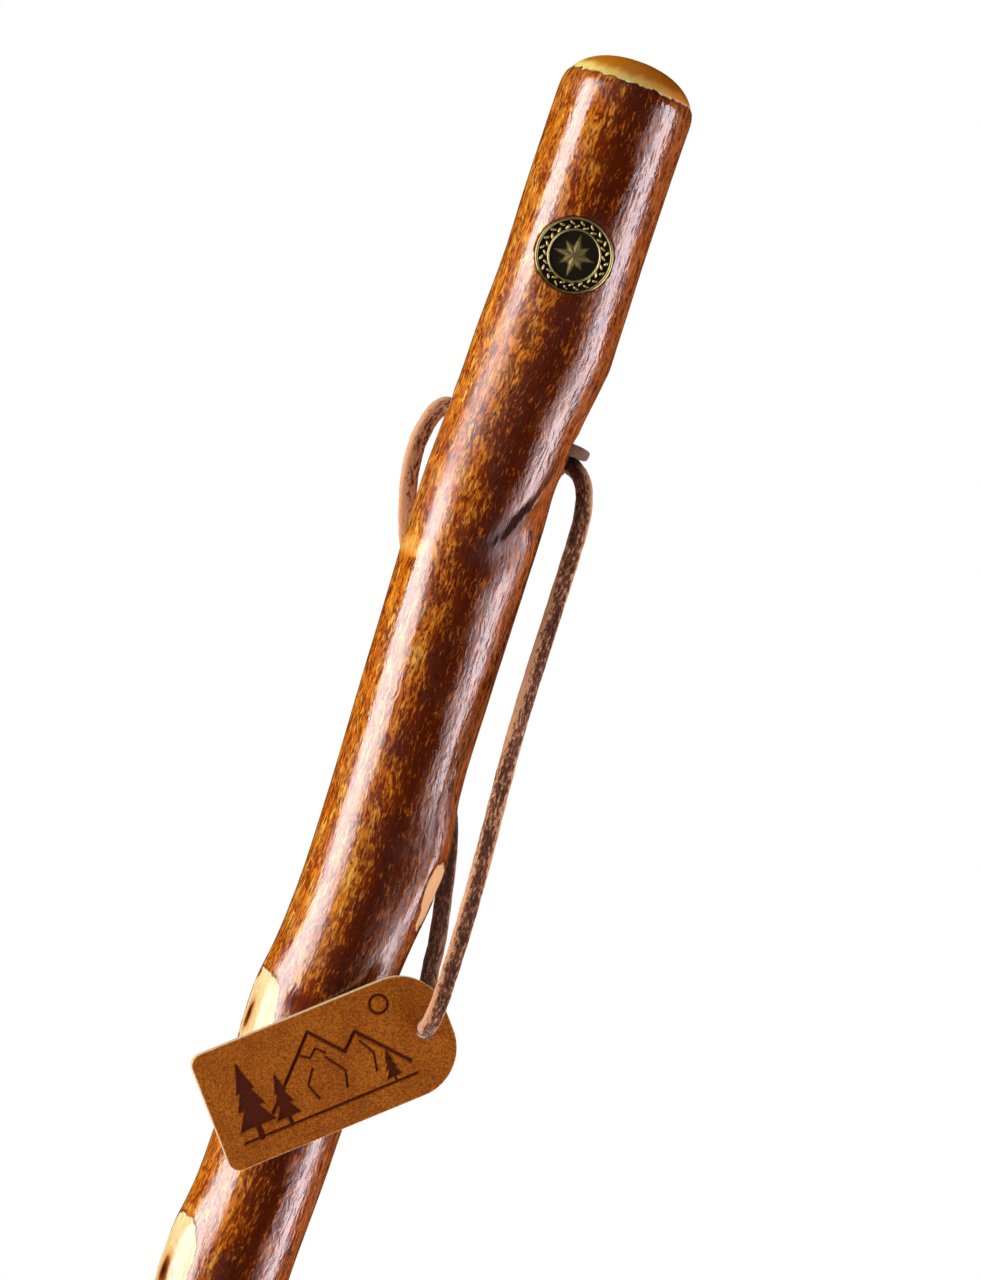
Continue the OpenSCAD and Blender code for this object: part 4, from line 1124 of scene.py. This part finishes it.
# Radius and height from the socket's floor, up its wall, over the rim, down the outside and under the sole
TIP_PROFILE_MM = [
    (0.01, 8.0), (12.3, 8.0), (12.7, 8.4), (12.7, 20), (12.7, 36.4), (13.1, 37), (15.0, 37), (15.6, 36.8),
    (15.9, 36.3), (15.9, 33.9), (15.7, 33.5), (15.3, 33.1), (15.2, 32.6), (15.2, 24.6), (15.2, 24),
    (15.3, 20), (15.7, 12), (16.3, 5), (16.45, 4), (16.5, 3), (16.5, 1.6), (16.35, 0.8), (15.9, 0.25),
    (15.2, 0),
]
# Grooves under the sole: outer and inner radius
TIP_GROOVES_MM = [(13.7, 11.5), (9.5, 7.3), (5.3, 3.1)]
TIP_GROOVE_DEPTH_MM, TIP_GROOVE_ROUND_MM = 1.4, 0.1


def moulded_rubber():
    """Brown-grey moulded rubber: matt, faintly bloomed, scuffed along the sole."""
    made, tree = start_material("moulded_rubber")
    place = add(tree, "TexCoord").outputs["Object"]
    # Mould texture of 0.3 mm and bloom in 6 mm clouds
    cloud = add(tree, "TexNoise", {"Vector": place, "Scale": 0.16 / MM, "Detail": 3.0})
    grit = add(tree, "TexNoise", {"Vector": place, "Scale": 3.3 / MM, "Detail": 2.0})
    height = add(tree, "SeparateXYZ", {"Vector": place}).outputs["Z"]
    scuff = add(tree, "MapRange", {"Value": height, "From Min": 5 * MM, "From Max": 0.0, "To Max": 0.35})
    tone = add(tree, "Math", {0: cloud, 1: scuff}, operation="ADD")
    colour = add(tree, "ValToRGB", {"Fac": tone}, stops=[
        (0.3, "#33291f"), (0.6, "#4a3c33"), (0.95, "#6b5d50"),
    ])
    bump = add(tree, "Bump", {"Height": grit, "Strength": 0.4, "Distance": 0.08 * MM})
    surface = add(tree, "BsdfPrincipled", {
        "Base Color": colour, "Roughness": 0.72, "Specular IOR Level": 0.35, "Normal": bump,
    })
    add(tree, "OutputMaterial", {"Surface": surface})
    return made


def build_tip(material):
    """The tip turned from its profile, with the ribs raised out of the waist."""
    soft, deep = TIP_GROOVE_ROUND_MM, TIP_GROOVE_DEPTH_MM
    profile = list(TIP_PROFILE_MM)
    for outer, inner in TIP_GROOVES_MM:
        profile += [(outer, 0), (outer - soft, soft), (outer - soft, deep - soft), (outer - 2 * soft, deep)]
        profile += [(inner + 2 * soft, deep), (inner + soft, deep - soft), (inner + soft, soft), (inner, 0)]
    profile.append((0.01, 0))
    rows = []
    for (r0, z0), (r1, z1) in zip(profile, profile[1:]):
        steps = max(1, int(math.hypot(r1 - r0, z1 - z0) / TIP_STEP_MM))
        rows += [(r0 + (r1 - r0) * k / steps, z0 + (z1 - z0) * k / steps) for k in range(steps)]
    rows.append(profile[-1])
    angle = ring_angles(TIP_SIDES)
    rings = []
    for r, z in rows:
        reach = np.full(TIP_SIDES, r)
        # Only the waist's rows have ribs, and the socket's rows at the same heights have none
        if r > TIP_WAIST_MM - 0.2 and z < TIP_RIB_TOP_MM:
            side = np.abs(np.sin(angle)) * r
            rib = ease(side, TIP_RIB_HALF_MM + TIP_RIB_FLANK_MM, TIP_RIB_HALF_MM - TIP_RIB_FLANK_MM)
            rib *= ease(z, TIP_RIB_FOOT_MM - TIP_RIB_RISE_MM, TIP_RIB_FOOT_MM)
            reach = np.maximum(reach, TIP_WAIST_MM + TIP_RIB_OUT_MM * rib)
        rings.append(np.stack([reach * np.cos(angle), reach * np.sin(angle), np.full(TIP_SIDES, z)], 1))
    points, faces = ring_skin(rings)
    tip = make_piece("tip_rubber", points * MM, faces, material)
    face_outwards(tip)
    return tip


tip = build_tip(moulded_rubber())
hold(tip, "tip", "tip_rubber", "rubber_tip")


# Washer: zinc-plated steel, stamped, seen only when the tip is off


def plated_steel():
    """Dull zinc plate with fine turning marks and a faint spangle."""
    made, tree = start_material("zinc_plated_steel")
    place = add(tree, "TexCoord").outputs["Object"]
    # Spangle of 2.5 mm and marks of 0.3 mm
    spangle = add(tree, "TexVoronoi", {"Vector": place, "Scale": 0.4 / MM}).outputs["Color"]
    marks = add(tree, "TexNoise", {"Vector": place, "Scale": 3 / MM, "Detail": 2.0})
    colour = add(tree, "Mix", {0: 0.12, 6: linear("#b9bcc0"), 7: spangle}, data_type="RGBA")
    rough = add(tree, "MapRange", {"Value": marks, "To Min": 0.3, "To Max": 0.5})
    surface = add(tree, "BsdfPrincipled", {"Base Color": colour, "Metallic": 1.0, "Roughness": rough})
    add(tree, "OutputMaterial", {"Surface": surface})
    return made


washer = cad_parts["tip_washer"]
washer.data.materials.clear()
washer.data.materials.append(plated_steel())


# Studio: white surround, pale floor, four tall strip softboxes, a fill behind and one above, and dark
# flags for the varnish to reflect

FLOOR_R, FLOOR_DROP = 6.0, 0.0002
FLAG_R, FLAG_HEIGHT, FLAG_MIDDLE = 3.4, 5, 1.2
SOFTBOX_FOOT, SOFTBOX_TOP, SOFTBOX_DISTANCE = -0.35, 2.25, 1.6
TOP_FILL_SIZE, TOP_FILL_WATTS, TOP_FILL_HEIGHT = 1.2, 7, 3.0
SURROUND_FILL = 0.2


def softbox(name, azimuth, width, radiance, colour, top=SOFTBOX_TOP):
    """A tall strip of light at an azimuth from the front, right positive, facing the staff."""
    height = top - SOFTBOX_FOOT
    lamp = bpy.data.lights.new(name, "AREA")
    lamp.shape, lamp.size, lamp.size_y = "RECTANGLE", width, height
    lamp.energy = radiance * math.pi * width * height
    lamp.color = linear(colour)[:3]
    made = plain_object(name, lamp)
    turn = math.radians(azimuth)
    x, y = SOFTBOX_DISTANCE * math.sin(turn), -SOFTBOX_DISTANCE * math.cos(turn)
    made.location = (x, y, SOFTBOX_FOOT + height / 2)
    made.rotation_euler = (math.radians(90), 0, turn)
    made.visible_camera = False
    return made


softbox("key_strip", -72, 0.8, 6.3, "#f6f2f6")
softbox("low_strip", -52, 0.34, 4.6, "#f6f2f6", top=1.27)
softbox("cool_strip", 84, 0.74, 5.7, "#f0eaf4")
softbox("low_cool_strip", 62, 0.34, 1.6, "#f0eaf4", top=1.85)
softbox("back_fill", 180, 1.6, 0.8, "#ffffff").visible_glossy = False
top_fill = plain_object("top_fill", bpy.data.lights.new("top_fill", "AREA"))
top_fill.data.size, top_fill.data.energy = TOP_FILL_SIZE, TOP_FILL_WATTS
top_fill.location.z = TOP_FILL_HEIGHT
top_fill.visible_camera = top_fill.visible_glossy = False

world = bpy.data.worlds.new("studio")
bpy.context.scene.world = world
world.use_nodes = True
sky = world.node_tree
sky.nodes.clear()
ray = add(sky, "LightPath").outputs
seen = add(sky, "Math", {0: ray["Is Camera Ray"], 1: ray["Is Glossy Ray"]}, operation="MAXIMUM")
seen = add(sky, "Math", {0: seen, 1: ray["Is Transmission Ray"]}, operation="MAXIMUM")
strength = add(sky, "MapRange", {"Value": seen, "To Min": SURROUND_FILL, "To Max": 1.0})
surround = add(sky, "Background", {"Color": (1, 1, 1, 1), "Strength": strength})
add(sky, "OutputWorld", {"Surface": surround})


def build_floor():
    """A pale floor disc that keeps the staff's shadow near it and fades to the white surround."""
    floor = plain_shape("floor", bmesh.ops.create_circle, cap_ends=True, segments=96, radius=FLOOR_R)
    floor.location.z = -FLOOR_DROP
    made, tree = start_material("pale_floor")
    place = add(tree, "TexCoord").outputs["Object"]
    far = add(tree, "VectorMath", {0: place}, operation="LENGTH").outputs["Value"]
    share = add(
        tree, "MapRange", {"Value": far, "From Min": 0.2, "From Max": 1.1, "To Min": 0.4},
        interpolation_type="SMOOTHSTEP",
    )
    ray = add(tree, "LightPath").outputs
    shown = add(tree, "Math", {0: ray["Is Camera Ray"], 1: share}, operation="MULTIPLY")
    paper = add(tree, "Mix", {
        0: ray["Is Glossy Ray"], 6: linear("#f4f3f1"), 7: linear("#5a5856"),
    }, data_type="RGBA")
    matt = add(tree, "BsdfDiffuse", {"Color": paper})
    white = add(tree, "Emission", {"Strength": 1.0})
    mixed = add(tree, "MixShader", {0: shown, 1: matt, 2: white})
    add(tree, "OutputMaterial", {"Surface": mixed})
    floor.data.materials.append(made)
    return floor


def build_flags():
    """Dark drapes round the set, which only reflections see."""
    flags = plain_shape(
        "flags", bmesh.ops.create_cone, cap_ends=True, segments=64, radius1=FLAG_R, radius2=FLAG_R,
        depth=FLAG_HEIGHT, matrix=Matrix.Translation((0, 0, FLAG_MIDDLE)),
    )
    made, tree = start_material("black_drape")
    cloth = add(tree, "BsdfDiffuse", {"Color": linear("#151515")})
    add(tree, "OutputMaterial", {"Surface": cloth})
    flags.data.materials.append(made)
    for kind in ("camera", "diffuse", "transmission", "volume_scatter", "shadow"):
        setattr(flags, "visible_" + kind, False)
    return flags


build_floor()
build_flags()
